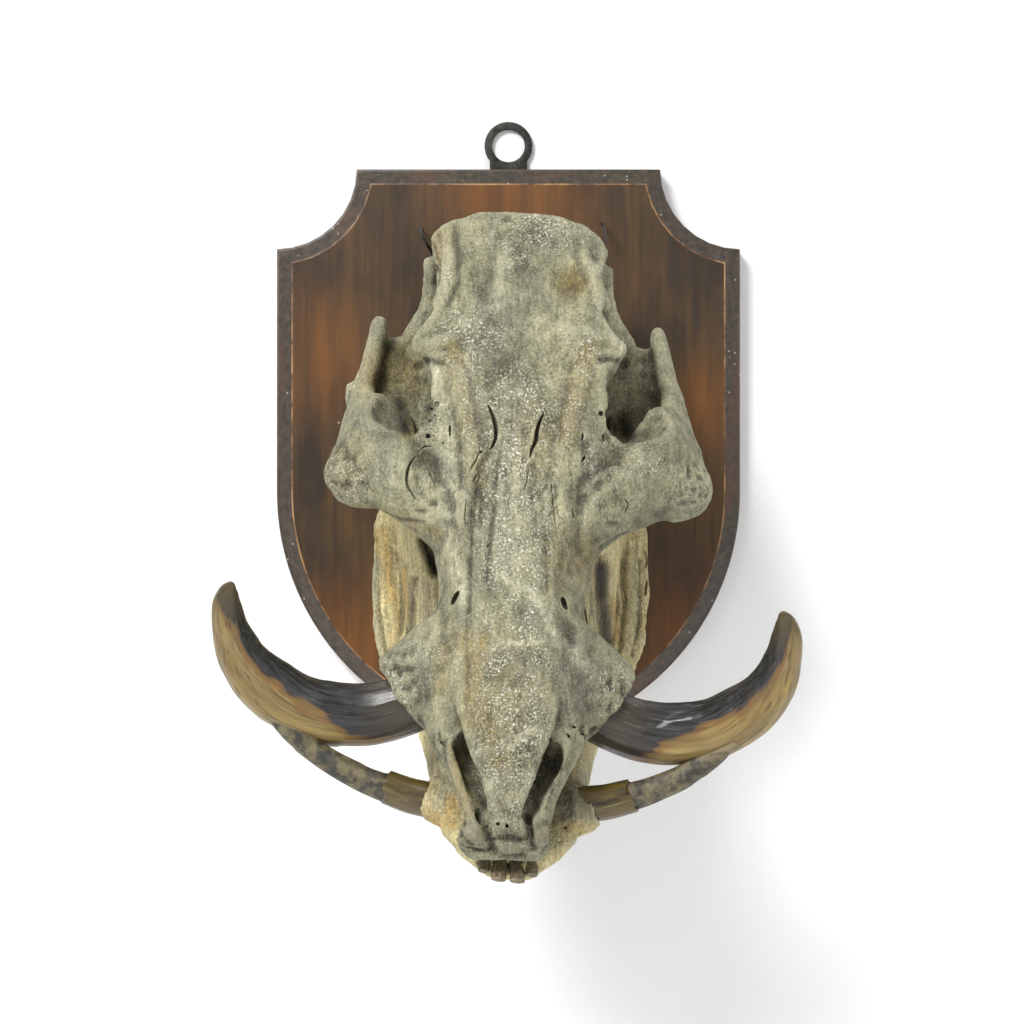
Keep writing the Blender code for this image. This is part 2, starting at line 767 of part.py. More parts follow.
def incisor_mesh(x, extra=0.0):
    """Chisel lying forward in the chin, the outer pair set further back."""
    bm = bmesh.new()
    back, wide = (0.0, 1.0) if abs(x) < MIDDLE_PAIR_REACH else (5.0, 0.75)
    rows = [((x * 0.8, 22 + extra + back, -17), 3.0 * wide, 2.6),
            ((x * 0.95, 6 + back, -14.5), 4.0 * wide, 2.9),
            ((x, -1 + back, -12.8), 4.2 * wide, 2.6),
            ((x, -5 + back, -11.8), 3.9 * wide, 1.3)]
    add_tube(bm, jaw_place, grown(rows, extra), 10, 1, (1.0, 0.0, 0.0))
    return bm


# Cheek teeth by where they start and end along the palate
MOLARS = {"second": (130, 147), "third": (150, 200)}

# Distance from the midline, half width, then the low and high level of the block
MOLAR_BLOCKS = {"upper": (24.5, 6.6, -8.0, 12.0), "lower": (28.0, 5.6, -29.0, -8.8)}


def molar_mesh(jaw, span, side, extra=0.0):
    """Straight block with rounded corners, its root in the bone and its crown worn flat."""
    place = tooth_place(cranium_place if jaw == "upper" else jaw_place, side)
    centre, half, low, high = MOLAR_BLOCKS[jaw]
    middle = (span[0] + span[1]) / 2
    reach = (span[1] - span[0]) / 2
    bm = bmesh.new()
    add_loft(bm, [[place(centre + (half + extra) * c, middle + (reach + extra) * d, h)
                   for c, d in around(12, 0.5)]
                  for h in (low - extra, high + extra)])
    return bm


SIDES = {"left": -1, "right": 1}

# Fixing wires

WIRE_RADIUS = 0.9

# World points of each wire in millimetres: from a hole in the shield over the
# corner of the crest, through a hole drilled in the bone and back to the shield.
WIRE_ROUTES = {
    "left": ((-51.5, -10, 134), (-51, -50, 131), (-49.5, -98, 127), (-48.5, -134, 122),
             (-45.5, -144, 115), (-42, -136, 110), (-40.5, -98, 107), (-39, -50, 103),
             (-38, -10, 100)),
    "right": ((55, -10, 137), (55, -50, 133), (54.5, -98, 126), (54, -132, 118),
              (52, -141, 110), (48.5, -132, 105), (46, -98, 102), (44, -50, 99),
              (43, -10, 96)),
}


def world_place(x, y, z):
    """World point in millimetres."""
    return Vector((x, y, z)) * MM


def wire_mesh(route, extra=0.0):
    """Round wire, or the bore round it, which goes a little deeper into the shield."""
    rows = [(point, WIRE_RADIUS + extra, WIRE_RADIUS + extra) for point in route]
    if extra:
        for end in (0, -1):
            (x, y, z), a, b = rows[end]
            rows[end] = ((x, y + CUT_THROUGH, z), a, b)
    bm = bmesh.new()
    add_tube(bm, world_place, rows, 8, 1, (1.0, 0.0, 0.0))
    return bm


def build_wires(wire, cranium, shield):
    """Tie the cranium to the shield and bore both for the wires."""
    for name, route in WIRE_ROUTES.items():
        shade_round(mesh_object("fixing_wire_" + name, wire_mesh(route), wire))
        bore = cutter_object("wire_bore_" + name, wire_mesh(route, GAP))
        cut(cranium, bore)
        cut(shield, bore)


def build_teeth(cranium, mandible, skull, ivory, worn_ivory, enamel):
    """Tusks and teeth, each with its own socket cut a gap wider in the bone."""
    for name, side in SIDES.items():
        shade_round(mesh_object("upper_tusk_" + name, upper_tusk_mesh(side), ivory, skull))
        cut(cranium, cutter_object("upper_socket_" + name, upper_tusk_mesh(side, GAP, True), skull))

        lower = mesh_object("lower_tusk_" + name, lower_tusk_mesh(side), worn_ivory, skull)
        # The lower tusk is honed flat where it meets the upper one
        hone = cutter_object("honing_face_" + name, upper_tusk_mesh(side, GAP), skull)
        cut(lower, hone)
        shade_round(lower)
        cut(mandible, cutter_object("lower_socket_" + name, lower_tusk_mesh(side, GAP), skull))

        for tooth, span in MOLARS.items():
            for jaw, bone in (("upper", cranium), ("lower", mandible)):
                mesh_object(f"{jaw}_molar_{tooth}_{name}", molar_mesh(jaw, span, side), enamel, skull)
                hole = cutter_object(f"{jaw}_molar_socket_{tooth}_{name}",
                                     molar_mesh(jaw, span, side, GAP), skull)
                cut(bone, hole)
    for name, x in INCISORS.items():
        shade_round(mesh_object("lower_incisor_" + name, incisor_mesh(x), enamel, skull))
        cut(mandible, cutter_object("incisor_socket_" + name, incisor_mesh(x, GAP), skull))


def main():
    clear_scene()
    wood = material("shield_wood", (0.16, 0.07, 0.03), 0.4)
    iron = material("ring_iron", (0.04, 0.04, 0.04), 0.55, 0.8)
    steel = material("screw_steel", (0.09, 0.085, 0.08), 0.5, 0.9)
    cranium_bone = material("cranium_bone", (0.38, 0.34, 0.24), 0.75)
    mandible_bone = material("mandible_bone", (0.40, 0.32, 0.20), 0.75)
    ivory = material("upper_tusk_ivory", (0.25, 0.19, 0.10), 0.3)
    worn_ivory = material("lower_tusk_ivory", (0.18, 0.14, 0.08), 0.4)
    enamel = material("tooth_enamel", (0.30, 0.25, 0.16), 0.4)
    wire = material("wire_iron", (0.02, 0.018, 0.016), 0.6, 0.7)

    shield = build_shield(wood)
    build_hanging_ring(iron)
    build_screws(steel)

    skull = bpy.data.objects.new("skull_pose", None)
    bpy.context.scene.collection.objects.link(skull)
    skull.location = (0.0, -SNOUT_FORWARD * MM, -SNOUT_DROP * MM)
    skull.rotation_euler = (SKULL_TILT, 0.0, 0.0)
    cranium = build_cranium(cranium_bone, skull)
    mandible = build_mandible(mandible_bone, skull)
    build_teeth(cranium, mandible, skull, ivory, worn_ivory, enamel)
    build_wires(wire, cranium, shield)
    shade_round(cranium, 60.0)
    shade_round(mandible, 60.0)


main()
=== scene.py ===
# %% [markdown]
# # A warthog skull on a wooden wall shield
# The real thing is an old hunting trophy. A dry skull hangs snout down on a stained
# board, held by two loops of iron wire, and the board hangs on a flat iron ring.
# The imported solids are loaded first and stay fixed. Every visible piece is then built
# over its solid, in metres and in the same place.

# %% Load the solids
import json
import math

import bpy
import numpy as np
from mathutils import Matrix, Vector
from mathutils.bvhtree import BVHTree

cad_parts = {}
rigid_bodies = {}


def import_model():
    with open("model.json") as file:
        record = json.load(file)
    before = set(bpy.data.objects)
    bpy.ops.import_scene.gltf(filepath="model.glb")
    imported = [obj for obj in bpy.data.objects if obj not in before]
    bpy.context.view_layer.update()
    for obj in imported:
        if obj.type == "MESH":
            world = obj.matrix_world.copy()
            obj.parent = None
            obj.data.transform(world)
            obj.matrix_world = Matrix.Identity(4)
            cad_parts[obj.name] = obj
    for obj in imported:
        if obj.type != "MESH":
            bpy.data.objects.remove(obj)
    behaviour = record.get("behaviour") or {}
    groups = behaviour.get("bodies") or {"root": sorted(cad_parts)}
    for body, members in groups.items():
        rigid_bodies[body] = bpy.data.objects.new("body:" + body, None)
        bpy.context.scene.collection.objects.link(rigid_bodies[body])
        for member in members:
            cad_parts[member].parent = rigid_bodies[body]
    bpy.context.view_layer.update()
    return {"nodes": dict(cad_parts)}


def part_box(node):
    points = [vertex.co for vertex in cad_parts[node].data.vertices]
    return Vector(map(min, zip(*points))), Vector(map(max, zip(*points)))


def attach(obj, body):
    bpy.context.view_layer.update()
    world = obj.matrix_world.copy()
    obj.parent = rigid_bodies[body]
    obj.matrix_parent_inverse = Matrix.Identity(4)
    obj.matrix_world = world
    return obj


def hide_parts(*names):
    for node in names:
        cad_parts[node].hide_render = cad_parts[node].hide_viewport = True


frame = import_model()
MM = 0.001
print("solids:", len(frame["nodes"]))

# %% [markdown]
# ## Camera
# The photograph looks straight at the wall from about two metres with a long lens, so
# the shield keeps its outline and the snout looks only a little larger than it is.
# Marks on bone and ivory are placed where this camera sees them, so two helpers turn
# points of the model into points of the picture and back.

# %% Camera
PICTURE = 1024
CAMERA_SPOT = Vector((0.0021, -2.0, -0.0335))
LENS = 118.37
SENSOR = 36.0

eye = bpy.data.cameras.new("photo_camera")
eye.lens = LENS
eye.sensor_width = SENSOR
camera = bpy.data.objects.new("photo_camera", eye)
camera.location = CAMERA_SPOT
camera.rotation_euler = (math.pi / 2, 0.0, 0.0)
bpy.context.scene.collection.objects.link(camera)
bpy.context.scene.camera = camera
PIXELS_PER_SLOPE = LENS / SENSOR * PICTURE
print("camera at", tuple(round(v, 4) for v in CAMERA_SPOT))


def on_picture(points):
    """Columns and rows of the picture where points of the model show."""
    ahead = points[:, 1] - CAMERA_SPOT.y
    u = PICTURE / 2 + (points[:, 0] - CAMERA_SPOT.x) / ahead * PIXELS_PER_SLOPE
    v = PICTURE / 2 - (points[:, 2] - CAMERA_SPOT.z) / ahead * PIXELS_PER_SLOPE
    return np.stack((u, v), axis=1)


def sight_line(u, v):
    """Direction from the camera through a point of the picture."""
    return Vector(((u - PICTURE / 2) / PIXELS_PER_SLOPE, 1.0,
                   (PICTURE / 2 - v) / PIXELS_PER_SLOPE)).normalized()


# %% [markdown]
# ## Wall, floor and light
# The object hangs on a wall, so a pale wall stands right behind the board and catches
# the soft shadow to the lower right. The wall lets light and sight through from its
# back, so that the board's back can be looked at. The floor lies far below. One large
# lamp shines from the upper left, and a weaker one fills in from the right.

# %% Helpers for selecting and finishing
def only(piece):
    """Select one piece and make it the active one."""
    bpy.ops.object.select_all(action="DESELECT")
    piece.select_set(True)
    bpy.context.view_layer.objects.active = piece


def apply_all(piece):
    """Apply every modifier of a piece in order."""
    only(piece)
    for modifier in list(piece.modifiers):
        bpy.ops.object.modifier_apply(modifier=modifier.name)


def settle(piece):
    """Put a piece's place into its mesh and leave its object at the origin."""
    only(piece)
    bpy.ops.object.transform_apply(location=True, rotation=True, scale=True)


def linear(code):
    """sRGB hex text as a linear colour."""
    parts = [int(code[i:i + 2], 16) / 255 for i in (1, 3, 5)]
    return (*[c / 12.92 if c <= 0.04045 else ((c + 0.055) / 1.055) ** 2.4 for c in parts], 1.0)


def add(tree, kind, inputs=(), **settings):
    """Add one node. Inputs go by name or number and take a value or another socket."""
    made = tree.nodes.new(kind)
    for name, value in settings.items():
        setattr(made, name, value)
    for key, value in dict(inputs).items():
        if isinstance(value, bpy.types.NodeSocket):
            tree.links.new(value, made.inputs[key])
        else:
            made.inputs[key].default_value = value
    return made


def blank(name):
    """New material: its node tree, its shader and its object coordinates."""
    made = bpy.data.materials.new(name)
    made.use_nodes = True
    tree = made.node_tree
    shader = tree.nodes["Principled BSDF"]
    place = add(tree, "ShaderNodeTexCoord").outputs["Object"]
    return made, tree, shader, place


# %% Wall and floor
FLOOR_HEIGHT = -1.1
WALL_SIZE = 5.0
FLOOR_SIZE = 8.0
WALL_GAP = 0.0006

wall_paint, tree, shader, place = blank("matt_wall_paint")
# Emulsion paint is matt and nearly white; a faint mottle keeps it from looking like paper
mottle = add(tree, "ShaderNodeTexNoise", {"Vector": place, "Scale": 9.0})
tone = add(tree, "ShaderNodeMix", {
    0: mottle.outputs["Fac"], 6: linear("#f4f4f4"), 7: linear("#f8f8f8")}, data_type="RGBA")
tree.links.new(tone.outputs[2], shader.inputs["Base Color"])
shader.inputs["Roughness"].default_value = 0.9
shader.inputs["Specular IOR Level"].default_value = 0.2
floor_paint = wall_paint.copy()
floor_paint.name = "matt_floor_paint"
# The wall alone is open from behind
side = add(tree, "ShaderNodeNewGeometry").outputs["Backfacing"]
clear = add(tree, "ShaderNodeBsdfTransparent")
both = add(tree, "ShaderNodeMixShader", {0: side, 1: shader.outputs["BSDF"], 2: clear.outputs["BSDF"]})
tree.links.new(both.outputs["Shader"], tree.nodes["Material Output"].inputs["Surface"])

bpy.ops.object.select_all(action="DESELECT")
bpy.ops.mesh.primitive_plane_add(size=WALL_SIZE, location=(0, WALL_GAP, WALL_SIZE / 2 + FLOOR_HEIGHT),
                                 rotation=(math.pi / 2, 0, 0))
wall = bpy.context.object
wall.name = "wall"
wall.data.materials.append(wall_paint)
bpy.ops.mesh.primitive_plane_add(size=FLOOR_SIZE, location=(0, 0, FLOOR_HEIGHT))
floor = bpy.context.object
floor.name = "floor"
floor.data.materials.append(floor_paint)
for stage in (wall, floor):
    settle(stage)
print("stage:", wall.name, floor.name)

# %% Lamps
def soft_lamp(name, spot, target, size, watts):
    """Square lamp that looks at a target."""
    lamp = bpy.data.lights.new(name, "AREA")
    lamp.size = size
    lamp.energy = watts
    made = bpy.data.objects.new(name, lamp)
    made.location = spot
    made.rotation_euler = (Vector(target) - Vector(spot)).to_track_quat("-Z", "Y").to_euler()
    bpy.context.scene.collection.objects.link(made)


SKULL_MIDDLE = (0, -0.1, -0.05)
soft_lamp("key_lamp", (-1.15, -2.3, 1.55), SKULL_MIDDLE, 0.9, 78.0)
soft_lamp("fill_lamp", (1.9, -2.3, 0.1), SKULL_MIDDLE, 1.6, 14.0)
soft_lamp("back_lamp", (1.2, 2.2, 1.3), (0, 0, 0), 1.6, 30.0)
sky = bpy.data.worlds.new("studio")
bpy.context.scene.world = sky
sky.use_nodes = True
daylight = sky.node_tree.nodes["Background"]
daylight.inputs["Color"].default_value = linear("#f2f4f6")
daylight.inputs["Strength"].default_value = 0.58
bpy.context.scene.view_settings.view_transform = "Standard"
print("lamps:", len(bpy.data.lights))

# %% [markdown]
# ## Sculpting tools
# Bone can't be drawn with primitives. Its pieces start as a copy of their solid, which
# is merged, remeshed finely and then carved with the same few strokes that a sculptor
# would use: smooth, push in, raise, roughen, and cut. The points of a mesh are handled
# all at once as arrays, which is quick.

# %% Points of a mesh
def read(piece, what="co"):
    """Points or normals of a piece as an array."""
    values = np.empty(len(piece.data.vertices) * 3, dtype=np.float32)
    source = piece.data.vertices if what == "co" else piece.data.vertex_normals
    source.foreach_get("co" if what == "co" else "vector", values)
    return values.reshape(-1, 3).astype(np.float64)


def write(piece, points):
    """Move the points of a piece."""
    piece.data.vertices.foreach_set("co", points.astype(np.float32).ravel())
    piece.data.update()


def around_mean(piece, values, rounds):
    """Values averaged with their neighbours along the edges, this many times."""
    edges = np.empty(len(piece.data.edges) * 2, dtype=np.int32)
    piece.data.edges.foreach_get("vertices", edges)
    a, b = edges.reshape(-1, 2).T
    n = len(piece.data.vertices)
    count = np.maximum(np.bincount(a, minlength=n) + np.bincount(b, minlength=n), 1)
    values = values.reshape(n, -1).copy()
    for _ in range(rounds):
        for k in range(values.shape[1]):
            column = values[:, k]
            total = np.bincount(a, column[b], n) + np.bincount(b, column[a], n)
            values[:, k] = 0.5 * column + 0.5 * total / count
    return values


def relax(piece, rounds):
    """Smooth facets away without shrinking: each inward step is undone by a longer outward one."""
    points = read(piece)
    for _ in range(rounds):
        points = points + 1.0 * (around_mean(piece, points, 1) - points)
        points = points - 1.04 * (around_mean(piece, points, 1) - points)
    write(piece, around_mean(piece, points, 1))


LATTICE = 48


def cloud(points, size, seed):
    """Soft random field between -1 and 1 whose lumps are about size wide, in metres."""
    dice = np.random.RandomState(seed).uniform(-1, 1, (LATTICE, LATTICE, LATTICE))
    scaled = points / np.asarray(size)
    cell = np.floor(scaled).astype(int)
    t = scaled - cell
    t = t * t * (3 - 2 * t)
    low = cell % LATTICE
    high = (cell + 1) % LATTICE
    value = 0.0
    for i in (0, 1):
        for j in (0, 1):
            for k in (0, 1):
                corner = dice[(high if i else low)[:, 0], (high if j else low)[:, 1],
                              (high if k else low)[:, 2]]
                weight = ((t[:, 0] if i else 1 - t[:, 0]) * (t[:, 1] if j else 1 - t[:, 1])
                          * (t[:, 2] if k else 1 - t[:, 2]))
                value = value + corner * weight
    return value * 1.5


# %% [markdown]
# A brush works in the picture: it has a place in pixels and a radius, and it touches
# only what the camera sees. One pixel is about 0.55 mm on the skull.

# %% Brushes
def dab(uv, u, v, ru, rv=None):
    """Round soft brush mark, 1 in the middle and 0 at its edge."""
    far = ((uv[:, 0] - u) / ru) ** 2 + ((uv[:, 1] - v) / (rv or ru)) ** 2
    return np.clip(1 - far, 0, None) ** 2


def away(uv, line):
    """Distance in pixels from a line through picture points."""
    best = np.full(len(uv), 1e9)
    for start, end in zip(line, line[1:]):
        start = np.array(start, float)
        along = np.array(end, float) - start
        t = np.clip(((uv - start) @ along) / (along @ along), 0, 1)
        best = np.minimum(best, np.hypot(*(uv - start - t[:, None] * along).T))
    return best


def stroke(uv, line, width):
    """Soft brush drawn along a line, with its half width in pixels."""
    return np.clip(1 - (away(uv, line) / width) ** 2, 0, None) ** 2


# A line of sight starts this many mm off the surface, and ends past the whole object in metres
SIGHT_START = 1.2
SIGHT_REACH = 0.6


def in_sight(piece):
    """1 for points that the camera sees on a piece and 0 for hidden ones, with soft borders."""
    tree = BVHTree.FromObject(piece, bpy.context.evaluated_depsgraph_get())
    points = read(piece)
    toward = np.array(CAMERA_SPOT) - points
    toward /= np.linalg.norm(toward, axis=1)[:, None]
    starts = points + toward * (SIGHT_START * MM)
    seen = [tree.ray_cast(Vector(p), Vector(d), SIGHT_REACH)[0] is None for p, d in zip(starts, toward)]
    return around_mean(piece, np.array(seen, float), 2)[:, 0]


def mark(piece, name, values):
    """Store a value at each point for the materials."""
    layer = piece.data.attributes.get(name) or piece.data.attributes.new(name, "FLOAT", "POINT")
    layer.data.foreach_set("value", np.asarray(values, dtype=np.float32))


def raised(uv, forms):
    """Height in mm that the marks give each point. A mark is (kind, where, size, height)."""
    total = np.zeros(len(uv))
    for kind, where, size, height in forms:
        total += height * (dab(uv, *where, *size) if kind == "dot" else stroke(uv, where, size))
    return total


def take(node, name):
    """Copy a solid, merge its doubled points and leave the copy in edit mode."""
    piece = frame["nodes"][node].copy()
    piece.data = piece.data.copy()
    piece.name = name
    piece.parent = None
    bpy.context.scene.collection.objects.link(piece)
    only(piece)
    bpy.ops.object.mode_set(mode="EDIT")
    bpy.ops.mesh.select_all(action="SELECT")
    bpy.ops.mesh.remove_doubles(threshold=0.00001)
    return piece


def start_from(node, name, voxel, rounds, plates=()):
    """Copy a solid, merge it with plates, remesh it finely and smooth its facets away."""
    piece = take(node, name)
    for centre, size in plates:
        bpy.ops.mesh.primitive_cube_add(size=MM, location=[v * MM for v in centre], scale=size)
    bpy.ops.object.mode_set(mode="OBJECT")
    fine = piece.modifiers.new("fine", "REMESH")
    fine.mode = "VOXEL"
    fine.voxel_size = voxel * MM
    apply_all(piece)
    relax(piece, rounds)
    piece.data.materials.clear()
    return piece


def fit(piece, slot, *nodes):
    """Let a piece stand for its solids and ride on the body."""
    piece.data.shade_smooth()
    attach(piece, "root")
    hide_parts(*nodes)


# %% Cutters
def curve_rows(rows, steps):
    """Smooth curve through rows of numbers."""
    rows = np.array(rows, float)
    rows = np.vstack((rows[:1], rows, rows[-1:]))
    out = []
    for a, b, c, d in zip(rows, rows[1:], rows[2:], rows[3:]):
        for k in range(steps):
            t = k / steps
            out.append(0.5 * (2 * b + (c - a) * t + (2 * a - 5 * b + 4 * c - d) * t * t
                              + (3 * b - a - 3 * c + d) * t ** 3))
    out.append(rows[-2])
    return np.array(out)


def build_mesh(name, verts, faces):
    """New piece from points and faces, turned outward."""
    mesh = bpy.data.meshes.new(name)
    mesh.from_pydata(verts, [], faces)
    piece = bpy.data.objects.new(name, mesh)
    bpy.context.scene.collection.objects.link(piece)
    only(piece)
    bpy.ops.object.mode_set(mode="EDIT")
    bpy.ops.mesh.select_all(action="SELECT")
    bpy.ops.mesh.normals_make_consistent(inside=False)
    bpy.ops.object.mode_set(mode="OBJECT")
    return piece


def subtract(piece, cutter, solver="EXACT"):
    """Cut one piece out of another, and remove it."""
    step = piece.modifiers.new("cut", "BOOLEAN")
    step.operation = "DIFFERENCE"
    step.solver = solver
    step.object = cutter
    apply_all(piece)
    bpy.data.objects.remove(cutter)


# Points round a channel, and how much longer than wide a single hole is
CHANNEL_SIDES = 10
HOLE_LENGTH = 1.6


def cut_channels(piece, channels):
    """Cut slits and holes. A channel is (picture points, half width in mm, depth in mm)."""
    tree = BVHTree.FromObject(piece, bpy.context.evaluated_depsgraph_get())
    verts = []
    faces = []
    for line, half, depth in channels:
        if len(line) == 1:
            (u, v), = line
            line = ((u, v - half * HOLE_LENGTH), (u, v), (u, v + half * HOLE_LENGTH))
        spots = [tree.ray_cast(CAMERA_SPOT, sight_line(u, v))[0] for u, v in line]
        if None in spots:
            print("channel off the bone at", line[0])
            continue
        rows = [Vector(row) for row in curve_rows(spots, 4)]
        first = len(verts)
        last = len(rows) - 1
        for i, spot in enumerate(rows):
            along = rows[min(i + 1, last)] - rows[max(i - 1, 0)]
            along.y = 0
            across = along.normalized().cross(Vector((0, 1, 0)))
            # Full in the middle, and narrow and shallow at both ends
            full = math.sin(math.pi * (i + 0.35) / (last + 0.7)) ** 0.6
            wide = half * MM * full
            deep = depth * MM * (0.25 + 0.75 * full)
            for k in range(CHANNEL_SIDES):
                angle = math.tau * k / CHANNEL_SIDES
                inward = Vector((0, deep * math.sin(angle), 0))
                verts.append(spot + across * (wide * math.cos(angle)) + inward)
        for i in range(last):
            for k in range(CHANNEL_SIDES):
                a = first + i * CHANNEL_SIDES + k
                b = first + i * CHANNEL_SIDES + (k + 1) % CHANNEL_SIDES
                faces.append((a, b, b + CHANNEL_SIDES, a + CHANNEL_SIDES))
        faces.append(tuple(first + k for k in reversed(range(CHANNEL_SIDES))))
        faces.append(tuple(first + last * CHANNEL_SIDES + k for k in range(CHANNEL_SIDES)))
    before = len(piece.data.polygons)
    subtract(piece, build_mesh("channels", verts, faces), "MANIFOLD")
    piece.data.materials.clear()
    print(piece.name, "faces", before, "->", len(piece.data.polygons))


# %% [markdown]
# ## Cranium
# The brow, snout, cheek arches and tusk sockets have grown together into one bone.
# First come the broad hollows and ridges, then the roughness of its ends, and last the
# slits, nerve holes and pits, which are cut out so that they are really dark.

# %% Cranium forms
# The palate rises at this angle from level
SKULL_TILT = math.radians(40.0)
# Thin plates close the back of each eye socket below the joint of the jaw. They reach down to hide the board
# there, and their lower parts carry nearly black painted shade
SOCKET_PLATES = (((-61, -129, 24), (58, 7, 28)), ((64, -129, 20), (42, 7, 36)))
cranium = start_from("cranium", "cranium_bone", 1.7, 5, SOCKET_PLATES)
uv = on_picture(read(cranium))
seen = in_sight(cranium)
print("cranium points", len(uv))

# Each mark is (kind, where, size in pixels, height in mm)
CRANIUM_FORMS = (
    # Grooves at both sides of the nasal bridge
    ("line", ((468, 610), (470, 560), (473, 500), (480, 468), (489, 452)), 5, -1.1),
    ("line", ((466, 700), (467, 640), (468, 600)), 7, -0.6),
    ("line", ((549, 590), (545, 540), (540, 500), (532, 464)), 5, -0.8),
    ("line", ((552, 700), (553, 650), (550, 600)), 7, -0.5),
    ("line", ((496, 462), (496, 500), (490, 540), (486, 580)), 4, -0.9),
    ("line", ((529, 466), (532, 500), (538, 536)), 4, -0.8),
    ("line", ((482, 486), (480, 520), (478, 552)), 3.5, -0.7),
    # Ridges from the brow down to the cheeks
    ("line", ((456, 372), (466, 420), (470, 462), (466, 520)), 12, 2.0),
    ("line", ((582, 370), (570, 420), (560, 462), (562, 520)), 12, 1.7),
    # Long hollows beside them
    ("line", ((446, 446), (448, 490), (452, 560)), 10, -1.2),
    ("line", ((586, 446), (582, 500), (574, 570)), 10, -1.5),
    # Forehead
    ("dot", (516, 425), (24, 34), -1.6),
    ("dot", (512, 350), (60, 30), 1.2),
    ("dot", (568, 282), (27, 24), -4.0),
    ("dot", (482, 280), (20, 26), -2.0),
    ("line", ((505, 250), (504, 275), (498, 306)), 15, 1.1),
    ("line", ((447, 232), (450, 255), (450, 280), (440, 303)), 9, 3.0),
    ("line", ((584, 255), (596, 282), (604, 304)), 8, 2.4),
    ("line", ((432, 245), (438, 262), (435, 284)), 6, -3.0),
    # The brow ends in a hook over each eye socket
    ("line", ((452, 338), (430, 343), (412, 351)), 10, 1.5),
    ("line", ((440, 362), (428, 360), (418, 366)), 7, -2.4),
    ("line", ((590, 332), (612, 339), (630, 348)), 10, 1.5),
    ("line", ((602, 358), (612, 358), (624, 364)), 7, -2.4),
    # Sunken fields of the cheeks with a lump in the left one
    ("dot", (424, 474), (24, 34), -3.4),
    ("dot", (427, 476), (13, 24), 2.8),
    ("dot", (612, 502), (26, 28), -3.2),
    ("line", ((586, 490), (596, 478), (612, 470), (630, 478)), 7, 1.5),
    ("dot", (433, 503), (8, 6), -2.4),
    ("dot", (421, 511), (8, 4), -2.0),
    ("dot", (613, 525), (10, 4), -1.6),
    ("dot", (431, 408), (8, 6), -2.0),
    ("dot", (608, 437), (6, 7), -1.4),
    ("line", ((600, 548), (620, 536), (655, 531)), 3, -1.2),
    ("line", ((384, 514), (400, 520), (424, 521)), 3, -1.0),
    # Tusk sockets
    ("dot", (415, 690), (22, 30), -1.2),
    ("dot", (588, 690), (22, 30), -1.2),
    ("line", ((384, 668), (404, 650), (424, 632)), 6, 0.8),
    # Front of the snout
    ("dot", (452, 862), (20, 18), -9.0),
    ("dot", (560, 858), (22, 22), -10.0),
    ("dot", (472, 834), (15, 13), 4.6),
    ("dot", (505, 824), (20, 12), 3.0),
    ("dot", (543, 834), (9, 12), 2.6),
    ("dot", (512, 849), (18, 6), 2.6),
    ("line", ((447, 806), (453, 822), (458, 834)), 6, -3.5),
    ("line", ((562, 806), (557, 822), (553, 836)), 7, -4.5),
    ("line", ((448, 745), (458, 780), (468, 808)), 6, 1.6),
    ("line", ((560, 745), (556, 780), (548, 808)), 8, -1.8),
    ("line", ((480, 812), (486, 832), (493, 850)), 5, -4.5),
    ("line", ((455, 843), (470, 851), (496, 853)), 3, -2.0),
    ("line", ((464, 822), (463, 836), (472, 846)), 3, -2.0),
    ("line", ((527, 816), (531, 832), (534, 850)), 5, -4.0),
    ("line", ((490, 840), (508, 838), (526, 840)), 4, -2.4),
)
shape = raised(uv, CRANIUM_FORMS)
points = read(cranium)
normals = read(cranium, "normal")
rough_ends = np.clip(
    dab(uv, 395, 690, 34, 62) * 1.6 + dab(uv, 618, 700, 28, 48) * 1.6 + dab(uv, 584, 732, 22, 12) * 2.2
    + dab(uv, 440, 742, 20, 20) + dab(uv, 340, 478, 40, 40) * 0.9 + dab(uv, 698, 490, 34, 44) * 0.9, 0, 1)
shape = shape * seen
shape += 0.45 * cloud(points, 0.012, 1) + 0.25 * cloud(points, 0.005, 2)
shape += rough_ends * 0.95 * np.minimum(cloud(points, 0.0036, 3), 0.25) * 1.6
# Fibres run along the snout, strongest at both sides of the nasal bridge
along = points @ np.array((0.0, math.cos(SKULL_TILT), math.sin(SKULL_TILT)))
rise = points @ np.array((0.0, -math.sin(SKULL_TILT), math.cos(SKULL_TILT)))
fibrous = 0.25 + np.clip(
    dab(uv, 472, 500, 46, 130) + dab(uv, 556, 500, 46, 130) + dab(uv, 512, 470, 40, 60), 0, 1)
shape += 0.42 * fibrous * cloud(np.stack((points[:, 0], along, rise), axis=1), (0.0042, 0.03, 0.0042), 4)
write(cranium, points + normals * (shape * MM)[:, None])

